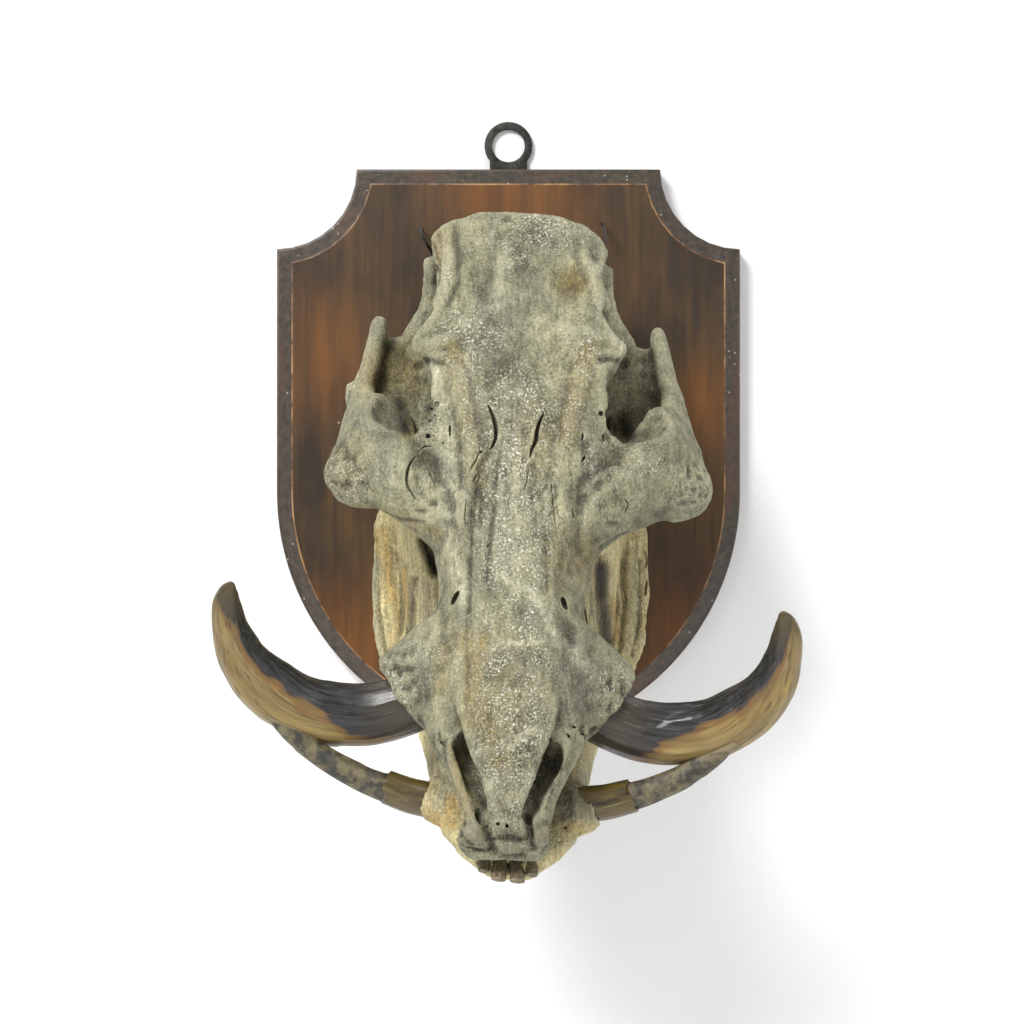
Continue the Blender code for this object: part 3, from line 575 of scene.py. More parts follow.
# %% Cranium slits, holes and pits
CRANIUM_CHANNELS = (
    (((488, 405), (492, 414), (495, 424), (496, 434), (494, 443), (490, 450)), 1.25, 7),
    (((544, 413), (540, 421), (537, 431), (536, 440), (532, 449), (530, 458)), 1.2, 7),
    (((459, 591), (455, 598), (452, 605)), 1.5, 7),
    (((562, 597), (564, 603), (567, 610)), 1.6, 7),
    (((437, 404),), 1.5, 4), (((428, 436),), 1.5, 4), (((432, 409),), 0.8, 2.5),
    (((430, 421),), 0.6, 2), (((450, 425), (450, 437)), 0.8, 3),
    (((435, 415),), 0.5, 1.5), (((443, 443),), 0.6, 1.5),
    (((600, 411), (602, 416)), 1.4, 3.5),
    (((583, 433), (582, 441)), 0.7, 2.5), (((585, 456), (582, 462)), 0.9, 3),
    (((603, 434), (604, 442)), 1.1, 2.5),
    (((432, 446), (424, 447), (417, 453)), 0.5, 1.5),
    (((416, 456), (410, 464), (407, 474), (407, 484), (411, 492), (416, 500)), 0.9, 3),
    (((427, 466), (431, 476), (436, 488)), 0.35, 1),
    (((470, 470), (476, 460), (480, 450)), 0.5, 2), (((529, 466), (527, 480), (524, 490)), 0.4, 1.5),
    (((466, 500), (465, 520), (468, 540)), 0.35, 1.2), (((551, 480), (553, 505), (556, 530)), 0.35, 1.2),
    (((572, 509), (574, 518)), 0.6, 2), (((488, 546),), 0.8, 2), (((481, 452),), 0.8, 2.4),
    (((363, 482),), 0.6, 1.5), (((624, 498), (628, 505), (624, 514)), 0.5, 1.5),
    (((477, 474), (473, 482)), 0.6, 2),
    (((498, 824),), 1.0, 4), (((507, 826),), 1.0, 4),
    (((528, 815), (531, 826), (533, 840)), 1.2, 5),
    (((572, 726), (576, 728)), 0.8, 2.5), (((580, 733), (584, 735)), 0.8, 2.5),
    (((567, 734), (570, 738)), 0.8, 2.5), (((590, 728), (592, 733)), 0.7, 2.5),
    (((441, 742), (446, 748)), 0.9, 3),
)
cut_channels(cranium, CRANIUM_CHANNELS)
relax(cranium, 1)

# %% [markdown]
# Old bone is never one colour. Stains sit in fixed places, and so does painted shade
# deep behind the bone, under its hooks and along its grooves, so both are painted at the
# points of the mesh with the same brushes, and the materials read them later. Hollows
# and ridges are found by comparing the surface with a smoothed copy of itself, and the
# hollows are darkened with dirt and painted shade.

# %% Cranium stains and painted shade
def find_relief(piece):
    """Mark hollows and ridges of a piece from 0 to 1."""
    points = read(piece)
    bend = ((around_mean(piece, points, 8) - points) * read(piece, "normal")).sum(axis=1) / MM
    mark(piece, "hollow", np.clip(bend / 0.32, 0, 1))
    mark(piece, "ridge", np.clip(-bend / 0.32, 0, 1))


def paint_stains_and_shade(piece, stains_and_shade):
    """Paint stains and shade where the camera sees them. A brush mark is (place or line, size, strength)."""
    find_relief(piece)
    seen = in_sight(piece)
    uv = on_picture(read(piece))
    for name, strokes in stains_and_shade.items():
        total = np.zeros(len(uv))
        for where, size, strength in strokes:
            single = not isinstance(where[0], tuple)
            brush = dab(uv, *where, *size) if single else stroke(uv, where, size)
            total = np.maximum(total, strength * brush)
        mark(piece, name, np.clip(around_mean(piece, total * seen, 2)[:, 0], 0, 1))
    print(piece.name, "stains:", len(stains_and_shade))


CRANIUM_STAINS_AND_SHADE = {
    # Yellow brown from oil and smoke
    "ochre": (
        ((572, 283), (26, 24), 1.0), (((452, 345), (465, 400), (472, 450), (478, 480)), 14, 0.75),
        (((588, 350), (572, 400), (566, 440)), 16, 0.7), ((530, 440), (34, 60), 0.4),
        (((480, 640), (472, 680), (468, 720)), 16, 0.8), ((604, 732), (16, 9), 0.8),
        (((350, 508), (400, 516), (440, 536)), 10, 0.7), ((408, 372), (26, 44), 0.8),
        (((444, 650), (440, 690)), 12, 0.5), ((560, 560), (20, 50), 0.5), ((455, 560), (16, 50), 0.4),
        ((408, 436), (16, 6), 0.8), (((455, 750), (462, 790), (470, 812)), 12, 0.9),
        ((500, 700), (30, 70), 0.3),
        ((512, 700), (60, 100), 0.25), ((345, 470), (40, 50), 0.35), ((440, 250), (16, 40), 0.8),
        ((378, 372), (30, 40), 1.0), ((585, 560), (20, 50), 0.7),
        (((466, 640), (478, 700), (500, 760)), 16, 0.7)),
    # Brown stains, and painted shade under the brow hooks, in and beside the eye sockets and along grooves
    "brown_stain_and_shade": (
        (((424, 361), (436, 363)), 5, 0.6), (((606, 359), (622, 362)), 5, 0.6), ((500, 804), (20, 13), 0.8),
        ((492, 830), (14, 16), 0.7), ((530, 825), (10, 26), 0.7),
        ((636, 380), (40, 50), 0.5), (((384, 345), (380, 398)), 8, 0.7), (((652, 350), (656, 410)), 7, 0.9),
        (((462, 838), (545, 838)), 30, 1.0), ((505, 812), (26, 16), 0.9), (((386, 396), (410, 400)), 8, 0.5),
        (((466, 745), (474, 790), (486, 812)), 6, 0.6), (((432, 250), (437, 284)), 6, 0.8),
        ((404, 350), (12, 8), 0.6),
        ((473, 832), (9, 12), 0.6), (((452, 845), (480, 851), (505, 855)), 5, 0.9),
        ((460, 740), (10, 14), 0.9), ((555, 760), (16, 40), 0.9), ((482, 775), (7, 26), 0.9)),
    "grey": (
        ((490, 320), (46, 60), 0.8), ((590, 470), (20, 90), 0.7), ((446, 490), (14, 70), 0.7),
        ((365, 480), (42, 30), 0.7), ((690, 500), (34, 34), 0.7), ((578, 680), (34, 60), 0.9),
        ((420, 672), (26, 46), 0.6), ((524, 690), (30, 90), 0.6), ((380, 425), (30, 12), 0.6),
        ((560, 240), (50, 16), 0.5), ((530, 620), (24, 30), 0.8)),
    "pale": (
        ((505, 262), (12, 16), 0.6), ((598, 268), (11, 10), 1.0), (((604, 300), (625, 345)), 14, 0.5),
        (((434, 362), (440, 392)), 9, 0.7), (((500, 576), (530, 590), (548, 616), (557, 642)), 7, 1.0),
        (((500, 643), (540, 644)), 4, 0.8), (((458, 322), (468, 326)), 3, 1.0),
        (((448, 250), (446, 295)), 9, 0.6),
        ((560, 330), (60, 18), 0.4), (((565, 645), (585, 665)), 10, 0.5), ((500, 545), (30, 50), 0.35),
        (((520, 740), (500, 748), (535, 730)), 8, 0.6), (((484, 792), (492, 782)), 6, 0.7),
        (((446, 400), (448, 470), (452, 540), (462, 600)), 13, 0.75),
        (((512, 400), (512, 480), (506, 560)), 26, 0.45),
        (((462, 360), (478, 420), (474, 470)), 12, 0.35), ((512, 300), (60, 40), 0.25),
        ((395, 470), (16, 40), 0.4)),
    # Painted shade: nearly black where sight goes deep behind the bone
    "deep": (
        (((399, 404), (402, 416), (405, 430)), 9, 1.0), (((622, 420), (630, 436)), 13, 1.0),
        ((428, 418), (7, 14), 0.7), (((528, 745), (541, 775), (534, 812)), 7, 0.5),
        ((484, 802), (6, 14), 0.8)),
    "fleck": (
        (((515, 400), (515, 600), (515, 790)), 56, 1.0), ((545, 225), (70, 44), 1.0),
        ((470, 330), (60, 36), 1.0), ((500, 250), (60, 30), 0.6), ((585, 350), (30, 30), 0.8),
        (((462, 350), (478, 440)), 24, 1.0), (((580, 350), (566, 440)), 22, 0.8), ((395, 690), (24, 60), 1.0),
        ((616, 690), (22, 50), 1.0), ((340, 480), (40, 46), 0.7), ((620, 460), (70, 30), 0.8),
        ((430, 420), (24, 40), 0.6), ((430, 655), (40, 30), 0.4), ((505, 845), (44, 16), 0.1)),
    "fibre": (
        ((474, 500), (34, 120), 1.0), ((554, 500), (34, 120), 1.0), ((512, 480), (40, 60), 0.8),
        ((420, 540), (30, 20), 0.8),
        ((600, 500), (40, 50), 0.8), ((425, 475), (30, 40), 0.9), ((470, 720), (40, 60), 0.6),
        ((575, 680), (30, 50), 0.5)),
    "pores": (
        ((392, 690), (30, 60), 1.0), ((616, 700), (26, 46), 0.8), ((584, 732), (26, 14), 1.0),
        ((345, 480), (44, 42), 0.8), ((690, 492), (42, 44), 0.8), ((430, 425), (26, 34), 0.8),
        ((605, 455), (34, 30), 0.6), ((450, 275), (14, 34), 0.8), ((440, 742), (18, 20), 1.0),
        (((515, 700), (515, 780)), 36, 0.5)),
}
paint_stains_and_shade(cranium, CRANIUM_STAINS_AND_SHADE)
fit(cranium, "cranium_bone", "cranium")

# %% [markdown]
# ## Mandible
# The lower jaw hangs behind the snout. Its angles flare out into broad plates with a
# rough, lipped edge where the chewing muscle held on, and fine ribs run down them.

# %% Mandible
mandible = start_from("mandible", "mandible_bone", 1.25, 6)
points = read(mandible)
normals = read(mandible, "normal")
uv = on_picture(points)
seen = in_sight(mandible)
MANDIBLE_FORMS = (
    ("line", ((381, 525), (386, 560), (392, 610), (398, 650)), 7, 1.0),
    ("line", ((404, 568), (402, 610), (396, 655)), 5, -1.2),
    ("line", ((376, 540), (377, 600), (384, 650)), 5, -1.0),
    ("line", ((414, 580), (412, 620), (408, 640)), 6, -2.5),
    ("line", ((425, 540), (430, 556), (436, 572)), 9, -4.5),
    ("line", ((602, 560), (603, 600), (606, 640)), 10, -3.5),
    ("line", ((632, 545), (630, 600), (626, 655)), 6, 0.8),
    ("line", ((640, 560), (640, 620), (632, 655)), 4, -1.2),
    ("line", ((623, 560), (624, 610), (620, 650)), 4, -1.0),
    ("dot", (450, 832), (14, 12), 1.4),
    ("line", ((560, 848), (590, 836), (612, 824)), 6, 1.2),
    ("line", ((545, 822), (570, 812)), 8, -1.2),
)
shape = raised(uv, MANDIBLE_FORMS) * seen
# The lipped edge of the plates lies far out to both sides
low_edge = np.clip((np.abs(points[:, 0]) - 0.060) / 0.016, 0, 1)
shape += low_edge * 0.7 * cloud(points, (0.02, 0.02, 0.0042), 11) * np.abs(cloud(points, 0.013, 14))
shape += 0.3 * cloud(points, (0.0022, 0.004, 0.03), 12) + 0.3 * cloud(points, 0.01, 13)
write(mandible, points + normals * (shape * MM)[:, None])
cut_channels(mandible, (
    (((644, 550), (647, 560), (645, 568)), 0.7, 2), (((647, 580), (645, 596)), 0.7, 2),
    (((584, 605), (586, 618), (589, 632)), 0.6, 2), (((565, 828),), 0.9, 2),
    (((624, 590), (627, 606)), 0.5, 1.5),
))
MANDIBLE_STAINS_AND_SHADE = {
    "ochre": ((((380, 530), (386, 560), (392, 600)), 9, 0.9), (((404, 570), (408, 620)), 5, 0.8),
              (((612, 600), (618, 640)), 6, 0.8), ((646, 628), (6, 12), 0.6),
              (((396, 610), (392, 650)), 6, 0.5),
              (((430, 815), (448, 828), (452, 800)), 12, 0.9), ((566, 770), (20, 24), 0.6),
              ((575, 830), (26, 12), 0.7),
              ((430, 790), (16, 40), 0.4)),
    # Painted shade: nearly black in the gaps beside the jaw plates and where the jaw shows through the eye
    # sockets
    "deep": ((((424, 541), (430, 556), (435, 570)), 11, 1.0), (((600, 566), (601, 596)), 11, 0.9),
             (((604, 610), (608, 645)), 8, 0.6), (((398, 402), (408, 424)), 14, 0.8),
             (((604, 416), (626, 436)), 16, 0.8)),
    # Painted shade along the grooves of the jaw plates and where the jaw shows through the eye sockets, and
    # brown stains at its front
    "brown_stain_and_shade": ((((413, 580), (411, 640)), 7, 0.9), (((602, 570), (606, 640)), 14, 0.9),
              ((566, 800), (34, 36), 0.9), ((590, 812), (24, 24), 0.6),
              (((426, 585), (430, 640)), 10, 0.5), ((436, 770), (16, 26), 0.5), ((412, 412), (30, 30), 0.8),
              ((616, 424), (30, 30), 0.8),
              (((398, 558), (408, 566)), 4, 0.4), ((565, 828), (10, 6), 0.7),
              (((622, 555), (636, 548)), 4, 0.4)),
    "grey": (((440, 795), (32, 50), 0.9), ((574, 800), (44, 54), 0.9),
             (((374, 560), (372, 620), (380, 660)), 9, 0.9), (((636, 560), (636, 640)), 9, 0.5),
             ((545, 842), (14, 12), 0.8), ((462, 800), (14, 20), 0.6), ((590, 610), (12, 40), 0.4)),
    "pale": ((((424, 585), (430, 640)), 9, 0.5), (((466, 812), (486, 806)), 6, 0.6)),
    "fleck": (((400, 600), (40, 90), 0.3), ((560, 840), (50, 16), 0.6), ((630, 600), (20, 70), 0.4)),
    "fibre": (((430, 620), (16, 60), 1.0), ((600, 610), (18, 60), 1.0), ((385, 600), (16, 70), 0.5),
              ((640, 600), (14, 70), 0.5), ((440, 790), (26, 44), 0.6), ((575, 800), (36, 44), 0.6)),
    "pores": ((((372, 600), (384, 660)), 8, 0.6), ((646, 600), (8, 60), 0.6), ((560, 838), (40, 14), 0.6)),
}
paint_stains_and_shade(mandible, MANDIBLE_STAINS_AND_SHADE)
fit(mandible, "mandible_bone", "mandible")

# %% [markdown]
# ## Tusks
# A tusk grows as a row of rings pushed out of its socket, so it is drawn as rings along
# a curved line, with the numbers of its solid. The skull's own frame has x to the right,
# s back along the palate and h up from it, in millimetres. Each point also stores how
# far along and round the tusk it lies, so that streaks can follow the curve.

# %% Tusk rings
SNOUT = (279.3, 210.1)
SIDES = {-1: "left", 1: "right"}
# Direction across the skull's palate that the rings' first radius follows
RING_FLAT = (0.0, 0.766, 0.643)


def from_skull(x, s, h, roll, drift):
    """World place in metres of a point in the skull's frame, which leans and twists a little."""
    s = s - roll * x * math.sin(SKULL_TILT)
    h = h - roll * x * math.cos(SKULL_TILT)
    return np.array((x + drift, s * math.cos(SKULL_TILT) - h * math.sin(SKULL_TILT) - SNOUT[0],
                     s * math.sin(SKULL_TILT) + h * math.cos(SKULL_TILT) - SNOUT[1])) * MM


def draw_tusk(name, stations, sides, steps):
    """Skin over oval rings. A station is (world place, radius along flat, radius across it)."""
    rows = curve_rows([(*place, a * MM, b * MM) for place, a, b in stations], steps)
    centres = rows[:, :3]
    along = np.gradient(centres, axis=0)
    along /= np.linalg.norm(along, axis=1)[:, None]
    flat = np.array(RING_FLAT) - along * (along @ np.array(RING_FLAT))[:, None]
    flat /= np.linalg.norm(flat, axis=1)[:, None]
    cross = np.cross(along, flat)
    length = np.concatenate(((0,), np.cumsum(np.linalg.norm(np.diff(centres, axis=0), axis=1))))
    turn = np.arange(sides) * math.tau / sides
    c, d = np.cos(turn), np.sin(turn)
    across = rows[:, 3:4] * c
    rise = rows[:, 4:5] * d
    points = centres[:, None] + flat[:, None] * across[..., None] + cross[:, None] * rise[..., None]
    n = len(rows)
    faces = [(i * sides + k, i * sides + (k + 1) % sides, (i + 1) * sides + (k + 1) % sides,
              (i + 1) * sides + k) for i in range(n - 1) for k in range(sides)]
    faces.append(tuple(range(sides))[::-1])
    faces.append(tuple(range((n - 1) * sides, n * sides)))
    piece = build_mesh(name, points.reshape(-1, 3).tolist(), faces)
    lay = np.stack((np.repeat(length, sides), across.ravel(), rise.ravel()), axis=1)
    layer = piece.data.attributes.new("growth", "FLOAT_VECTOR", "POINT")
    layer.data.foreach_set("vector", lay.astype(np.float32).ravel())
    return piece, lay


UPPER_TUSK = (
    ((34, 100, 26), 12.5, 14), ((50, 98, 19), 14, 16.5), ((70, 96, 12), 14.5, 18),
    ((90, 95, 11.5), 14.5, 18.5),
    ((110, 94, 18.5), 14, 18), ((127, 93, 34), 13, 17), ((138, 92, 53), 10.5, 13.5), ((143, 91, 73), 8.5, 10),
    ((144, 90, 89), 6.5, 8), ((143, 89.5, 99), 4.4, 5.4), ((141.5, 89.5, 104), 2.4, 2.8),
    ((141, 89.5, 106), 0.9, 1.1),
)
# Each tusk has slipped a little way down in its socket
UPPER_DROP = {-1: 4.5, 1: 7.0}

# Where dark slate grey turns to tan, as seen in the picture, from the socket to the tip
DARK_BORDER = {
    -1: ((430, 734), (400, 742), (372, 741), (350, 737), (335, 722), (318, 708), (290, 694), (262, 670),
         (246, 650), (236, 628), (224, 612), (218, 598)),
    1: ((590, 752), (620, 764), (645, 758), (665, 744), (690, 735), (720, 722), (745, 705), (768, 684),
        (782, 660), (788, 640), (794, 615), (800, 600)),
}


def below_line(uv, line):
    """Pixels below a line that runs across the picture, less than 0 above it."""
    line = sorted(line)
    return uv[:, 1] - np.interp(uv[:, 0], [u for u, v in line], [v for u, v in line])


# A worn crest runs along the tan side of each tusk, with a hollow above it
CREST = {-1: ((226, 660), (238, 688), (262, 715), (300, 733), (335, 748)),
         1: ((788, 690), (770, 712), (740, 730), (700, 745), (665, 758))}

upper_tusks = {}
for side, word in SIDES.items():
    stations = []
    for (x, s, h), a, b in UPPER_TUSK:
        s -= UPPER_DROP[side] * math.sin(SKULL_TILT)
        h -= UPPER_DROP[side] * math.cos(SKULL_TILT)
        lean = 6.3 * min(max((s - 105) / 120, 0.0), 1.0) - 0.5
        stations.append((from_skull(side * x, s, h, 0.045, lean), a, b))
    tusk, lay = draw_tusk("upper_tusk_ivory_" + word, stations, 132, 12)
    points = read(tusk)
    normals = read(tusk, "normal")
    taper = np.clip((lay[:, 0].max() - lay[:, 0]) / 0.03, 0, 1)
    ribs = cloud(lay, (0.09, 0.0022, 0.0022), 21 + side) * 0.22 + cloud(lay, (0.05, 0.006, 0.006), 23) * 0.3
    waves = cloud(lay, (0.006, 0.03, 0.03), 24) * 0.12
    uv = on_picture(points)
    # A shallow trough runs along the front of the dark band
    trough = -0.9 * stroke(uv, [(u, v - 26) for u, v in DARK_BORDER[side][1:8]], 7)
    above_crest = [(u - 3 * side, v - 13) for u, v in CREST[side]]
    crest = 1.1 * stroke(uv, CREST[side], 8) - 1.0 * stroke(uv, above_crest, 9)
    write(tusk, points + normals * ((ribs + waves + trough + crest - 0.2) * taper * MM)[:, None])
    drop = below_line(uv, DARK_BORDER[side])
    ragged = cloud(lay, (0.012, 0.006, 0.006), 25) * 5 + cloud(lay, (0.04, 0.002, 0.002), 26) * 3
    tan = np.clip((drop + ragged) / 4 + 0.5, 0, 1)
    end = lay[:, 0].max() - lay[:, 0]
    mark(tusk, "tan", tan)
    mark(tusk, "border", 0.75 * np.exp(-((drop + ragged - 3) / 4.5) ** 2))
    mark(tusk, "tip", np.clip(1 - end / 0.03, 0, 1) * (1 - 0.6 * tan))
    mark(tusk, "root", np.clip(1 - (lay[:, 0] - 0.028) / 0.022, 0, 1))
    fit(tusk, "upper_tusk_ivory", "upper_tusk_" + word)
    upper_tusks[side] = tusk
    print(tusk.name, "length mm", round(lay[:, 0].max() / MM))

# %% [markdown]
# The lower tusks are honed against the upper ones. Their thick outer layer has broken
# off in a ragged step, and the thinner core that goes on is dull and flaked.

# %% Lower tusks
LOWER_SLEEVE = (
    ((22, 58, -22), 8, 9.5), ((40, 62, -19), 8.6, 10.4), ((52, 64, -18), 8.6, 10.2),
    ((64.6, 67, -15.6), 8.2, 9.8),
)
LOWER_CORE = (
    ((66, 67, -15.5), 6.8, 8.1), ((78, 70, -12.5), 6.4, 7.5), ((94, 74, -6), 6, 6.9),
    ((107, 77.5, 2.3), 5.2, 6.2),
    ((117, 80, 10), 4, 5), ((124, 82, 17.5), 2, 2.6), ((126.5, 83, 20.5), 0.8, 1),
)
LOWER_DROP = {-1: 4.0, 1: 1.0}
# The core goes on inside the sleeve with these radii
CORE_RADII = (6.8, 8.1)
# The right tusk is broken a little shorter
LOWER_REACH = {-1: 1.0, 1: 0.90}
HONING_GAP = 0.0003
HONING_REACH = 0.012


def jaw_station(side, x, s, h, a, b):
    """Lower tusk station in the world, with the jaw's own twist."""
    s -= LOWER_DROP[side] * math.sin(SKULL_TILT)
    h -= LOWER_DROP[side] * math.cos(SKULL_TILT)
    return from_skull(side * x, s, h, 0.085 * max(0.0, 1 - s / 220), 0.004 * s), a, b


for side, word in SIDES.items():
    reach = LOWER_REACH[side]
    core = [jaw_station(side, (x - 66) * reach + 66, s, (h + 15.5) * reach - 15.5, a, b)
            for (x, s, h), a, b in LOWER_CORE]
    sleeve = [jaw_station(side, x, s, h, a, b) for (x, s, h), a, b in LOWER_SLEEVE]
    tusk, lay = draw_tusk("lower_tusk_ivory_" + word, sleeve, 120, 14)
    hidden = [(place, *CORE_RADII) for place, a, b in sleeve[1:3]]
    inner, inner_lay = draw_tusk("core", hidden + core, 120, 10)
    # Ragged broken end of the sleeve
    points = read(tusk)
    end = np.clip((lay[:, 0] - lay[:, 0].max() + 0.006) / 0.006, 0, 1)
    turn = np.arctan2(lay[:, 2], lay[:, 1])
    jag = 1.6 * np.sin(2 * turn + 0.8 * side) + 0.9 * np.sin(5 * turn + 1) + 0.5 * np.sin(11 * turn)
    forward = (sleeve[3][0] - sleeve[2][0]) / np.linalg.norm(sleeve[3][0] - sleeve[2][0])
    points += forward * (end * jag * MM)[:, None]
    ribs = cloud(lay, (0.06, 0.0016, 0.0016), 31) * 0.16
    write(tusk, points + read(tusk, "normal") * (ribs * (1 - end) * MM)[:, None])
    chips = cloud(inner_lay, (0.012, 0.006, 0.006), 32)
    flakes = np.where(chips > 0.25, -0.45, 0.0) + cloud(inner_lay, (0.02, 0.003, 0.003), 33) * 0.25
    thick = np.clip((inner_lay[:, 0].max() - inner_lay[:, 0]) / 0.012, 0, 1)
    write(inner, read(inner) + read(inner, "normal") * (flakes * thick * MM)[:, None])
    mark(tusk, "core", np.zeros(len(lay)))
    mark(inner, "core", np.ones(len(inner_lay)))
    mark(inner, "flake", (chips > 0.25).astype(float))
    mark(tusk, "flake", np.zeros(len(lay)))
    # Honing face: the core stays this gap away from the upper tusk
    skin = BVHTree.FromObject(upper_tusks[side], bpy.context.evaluated_depsgraph_get())
    points = read(inner)
    worn = np.zeros(len(points))
    for i, point in enumerate(points):
        spot, normal, _, _ = skin.find_nearest(Vector(point), HONING_REACH)
        if spot is not None and (Vector(point) - spot).dot(normal) < HONING_GAP:
            points[i] = spot + normal * HONING_GAP
            worn[i] = 1.0
    write(inner, points)
    mark(inner, "honed", around_mean(inner, worn, 2)[:, 0])
    mark(tusk, "honed", np.zeros(len(lay)))
    bpy.ops.object.select_all(action="DESELECT")
    inner.select_set(True)
    tusk.select_set(True)
    bpy.context.view_layer.objects.active = tusk
    bpy.ops.object.join()
    fit(tusk, "lower_tusk_ivory", "lower_tusk_" + word)
    print(tusk.name, "honed points", int(worn.sum()))

# %% [markdown]
# ## Teeth
# The four lower incisors close off the tip of the jaw, and the long cheek teeth inside
# are worn nearly flat. They start from their solids like the bones, with a finer mesh.

# %% Teeth
for node in sorted(frame["nodes"]):
    if "molar" not in node and "incisor" not in node:
        continue
    tooth = start_from(node, "tooth_" + node, 0.7 if "molar" in node else 0.5, 5)
    points = read(tooth)
    lift = cloud(points, 0.006, 41) * 0.25
    if "molar" in node:
        lift += cloud(points, (0.004, 0.005, 0.005), 42) * 0.5
    write(tooth, points + read(tooth, "normal") * (lift * MM)[:, None])
    find_relief(tooth)
    fit(tooth, "tooth_enamel", node)
teeth = [o for o in bpy.data.objects if o.name.startswith("tooth_")]
print("teeth:", len(teeth))

# %% [markdown]
# ## Shield
# The board was sawn to a shield outline and its front edge was planed to a wide slope.
# The outline is drawn as by hand: one point is extruded and spun round the centres of
# its arcs, the half is mirrored and filled, and the face is extruded and inset.

# %% Shield outline
HALF_WIDTH = 0.1365
HALF_HEIGHT = 0.1685
CORNER = (HALF_WIDTH, 0.0, HALF_HEIGHT)
CORNER_RADIUS = 0.047
FOOT_CENTRE = (-0.011, 0.0, -0.022)
FOOT_RADIUS = 0.1475
EDGE_DEPTH = 0.015
BOARD_DEPTH = 0.022

bpy.ops.object.select_all(action="DESELECT")
bpy.ops.mesh.primitive_plane_add(size=0.02, location=(0, 0, 0))
board = bpy.context.object
board.name = "shield_board"
bpy.ops.object.mode_set(mode="EDIT")
bpy.ops.mesh.select_all(action="SELECT")
bpy.ops.mesh.merge(type="CENTER")
bpy.ops.transform.translate(value=(0, 0, HALF_HEIGHT))
top_edge = (HALF_WIDTH - CORNER_RADIUS, 0, 0)
bpy.ops.mesh.extrude_region_move(TRANSFORM_OT_translate={"value": top_edge})
bpy.ops.mesh.spin(steps=8, angle=math.pi / 2, center=CORNER, axis=(0, 1, 0))
side_edge = (0, 0, -(HALF_HEIGHT - CORNER_RADIUS - FOOT_CENTRE[2]))
bpy.ops.mesh.extrude_region_move(TRANSFORM_OT_translate={"value": side_edge})
foot_turn = math.acos(-FOOT_CENTRE[0] / FOOT_RADIUS)
bpy.ops.mesh.spin(steps=44, angle=-foot_turn, center=FOOT_CENTRE, axis=(0, 1, 0))
bpy.ops.object.mode_set(mode="OBJECT")
half = board.modifiers.new("other_half", "MIRROR")
half.merge_threshold = 0.0001
apply_all(board)
print("outline", [round(v / MM, 1) for v in board.dimensions])

# %% Shield thickness, slope and worn line
FACE, RIM, WORN, BACK = range(4)
# Widths of the rim's flat lip, of its slope and of the line where its paint is worn off
LIP_WIDTH = 0.0013
SLOPE_WIDTH = 0.0077
WORN_WIDTH = 0.0009
for _ in range(4):
    bpy.ops.object.material_slot_add()


def give(finish):
    """Give the selected faces one of the board's four finishes."""
    board.active_material_index = finish
    bpy.ops.object.material_slot_assign()


bpy.ops.object.mode_set(mode="EDIT")
bpy.ops.mesh.select_all(action="SELECT")
bpy.ops.mesh.edge_face_add()
give(BACK)
bpy.ops.mesh.extrude_region_move(TRANSFORM_OT_translate={"value": (0, -EDGE_DEPTH, 0)})
give(RIM)
bpy.ops.mesh.inset(thickness=LIP_WIDTH, depth=0.0, use_even_offset=True)
bpy.ops.mesh.inset(thickness=SLOPE_WIDTH, depth=0.0, use_even_offset=True)
bpy.ops.transform.translate(value=(0, EDGE_DEPTH - BOARD_DEPTH, 0))
give(WORN)
bpy.ops.mesh.inset(thickness=WORN_WIDTH, depth=0.0, use_even_offset=True)
give(FACE)
bpy.ops.mesh.quads_convert_to_tris(ngon_method="BEAUTY")
bpy.ops.mesh.select_all(action="SELECT")
bpy.ops.mesh.normals_make_consistent(inside=False)
bpy.ops.object.mode_set(mode="OBJECT")

# %% Recess for the plate of the ring, and soft edges
RECESS_PLACE = (0, -0.001, 0.15)
RECESS_SIZE = (0.0227, 0.0047, 0.0447)


def cut_block(piece, place, size, turn=0.0):
    """Cut a box out of a piece, turned about the axis into the wall."""
    bpy.ops.object.select_all(action="DESELECT")
    bpy.ops.mesh.primitive_cube_add(size=1.0, location=place)
    block = bpy.context.object
    block.scale = size
    block.rotation_euler = (0, turn, 0)
    settle(block)
    subtract(piece, block)


def soften(piece, width, segments, angle):
    """Round the edges that are sharper than an angle in degrees."""
    edges = piece.modifiers.new("soft_edges", "BEVEL")
    edges.width = width
    edges.segments = segments
    edges.limit_method = "ANGLE"
    edges.angle_limit = math.radians(angle)
    apply_all(piece)


cut_block(board, RECESS_PLACE, RECESS_SIZE)
soften(board, 0.0005, 2, 25)
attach(board, "root")
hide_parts("shield")
only(board)
bpy.ops.object.shade_smooth_by_angle(angle=math.radians(30))
print("shield faces", len(board.data.polygons))

# %% Opening in the wall
# Light has to reach the board's back too, so the wall is cut open behind the board
cutter = board.copy()
cutter.data = board.data.copy()
bpy.context.scene.collection.objects.link(cutter)
cutter.scale = (0.985, 3.0, 0.985)
cutter.location = (0, 0.02, 0)
settle(cutter)
subtract(wall, cutter)
print("wall faces", len(wall.data.polygons), "materials", [m.name for m in wall.data.materials])

# %% [markdown]
# ## Ring, screws and wires
# The ring and its plate were cut from one flat strip, so their solid has the right
# shape, and a copy with softly filed edges is all it needs. The screws get their slots.
# Each wire is a curve through the points of its solid, made round and turned to mesh.

# %% Ring
def copy_solid(node, name):
    """Merged copy of a solid with its flat faces joined up."""
    piece = take(node, name)
    bpy.ops.mesh.dissolve_limited(angle_limit=math.radians(1.0))
    bpy.ops.mesh.customdata_custom_splitnormals_clear()
    bpy.ops.object.mode_set(mode="OBJECT")
    piece.data.materials.clear()
    return piece


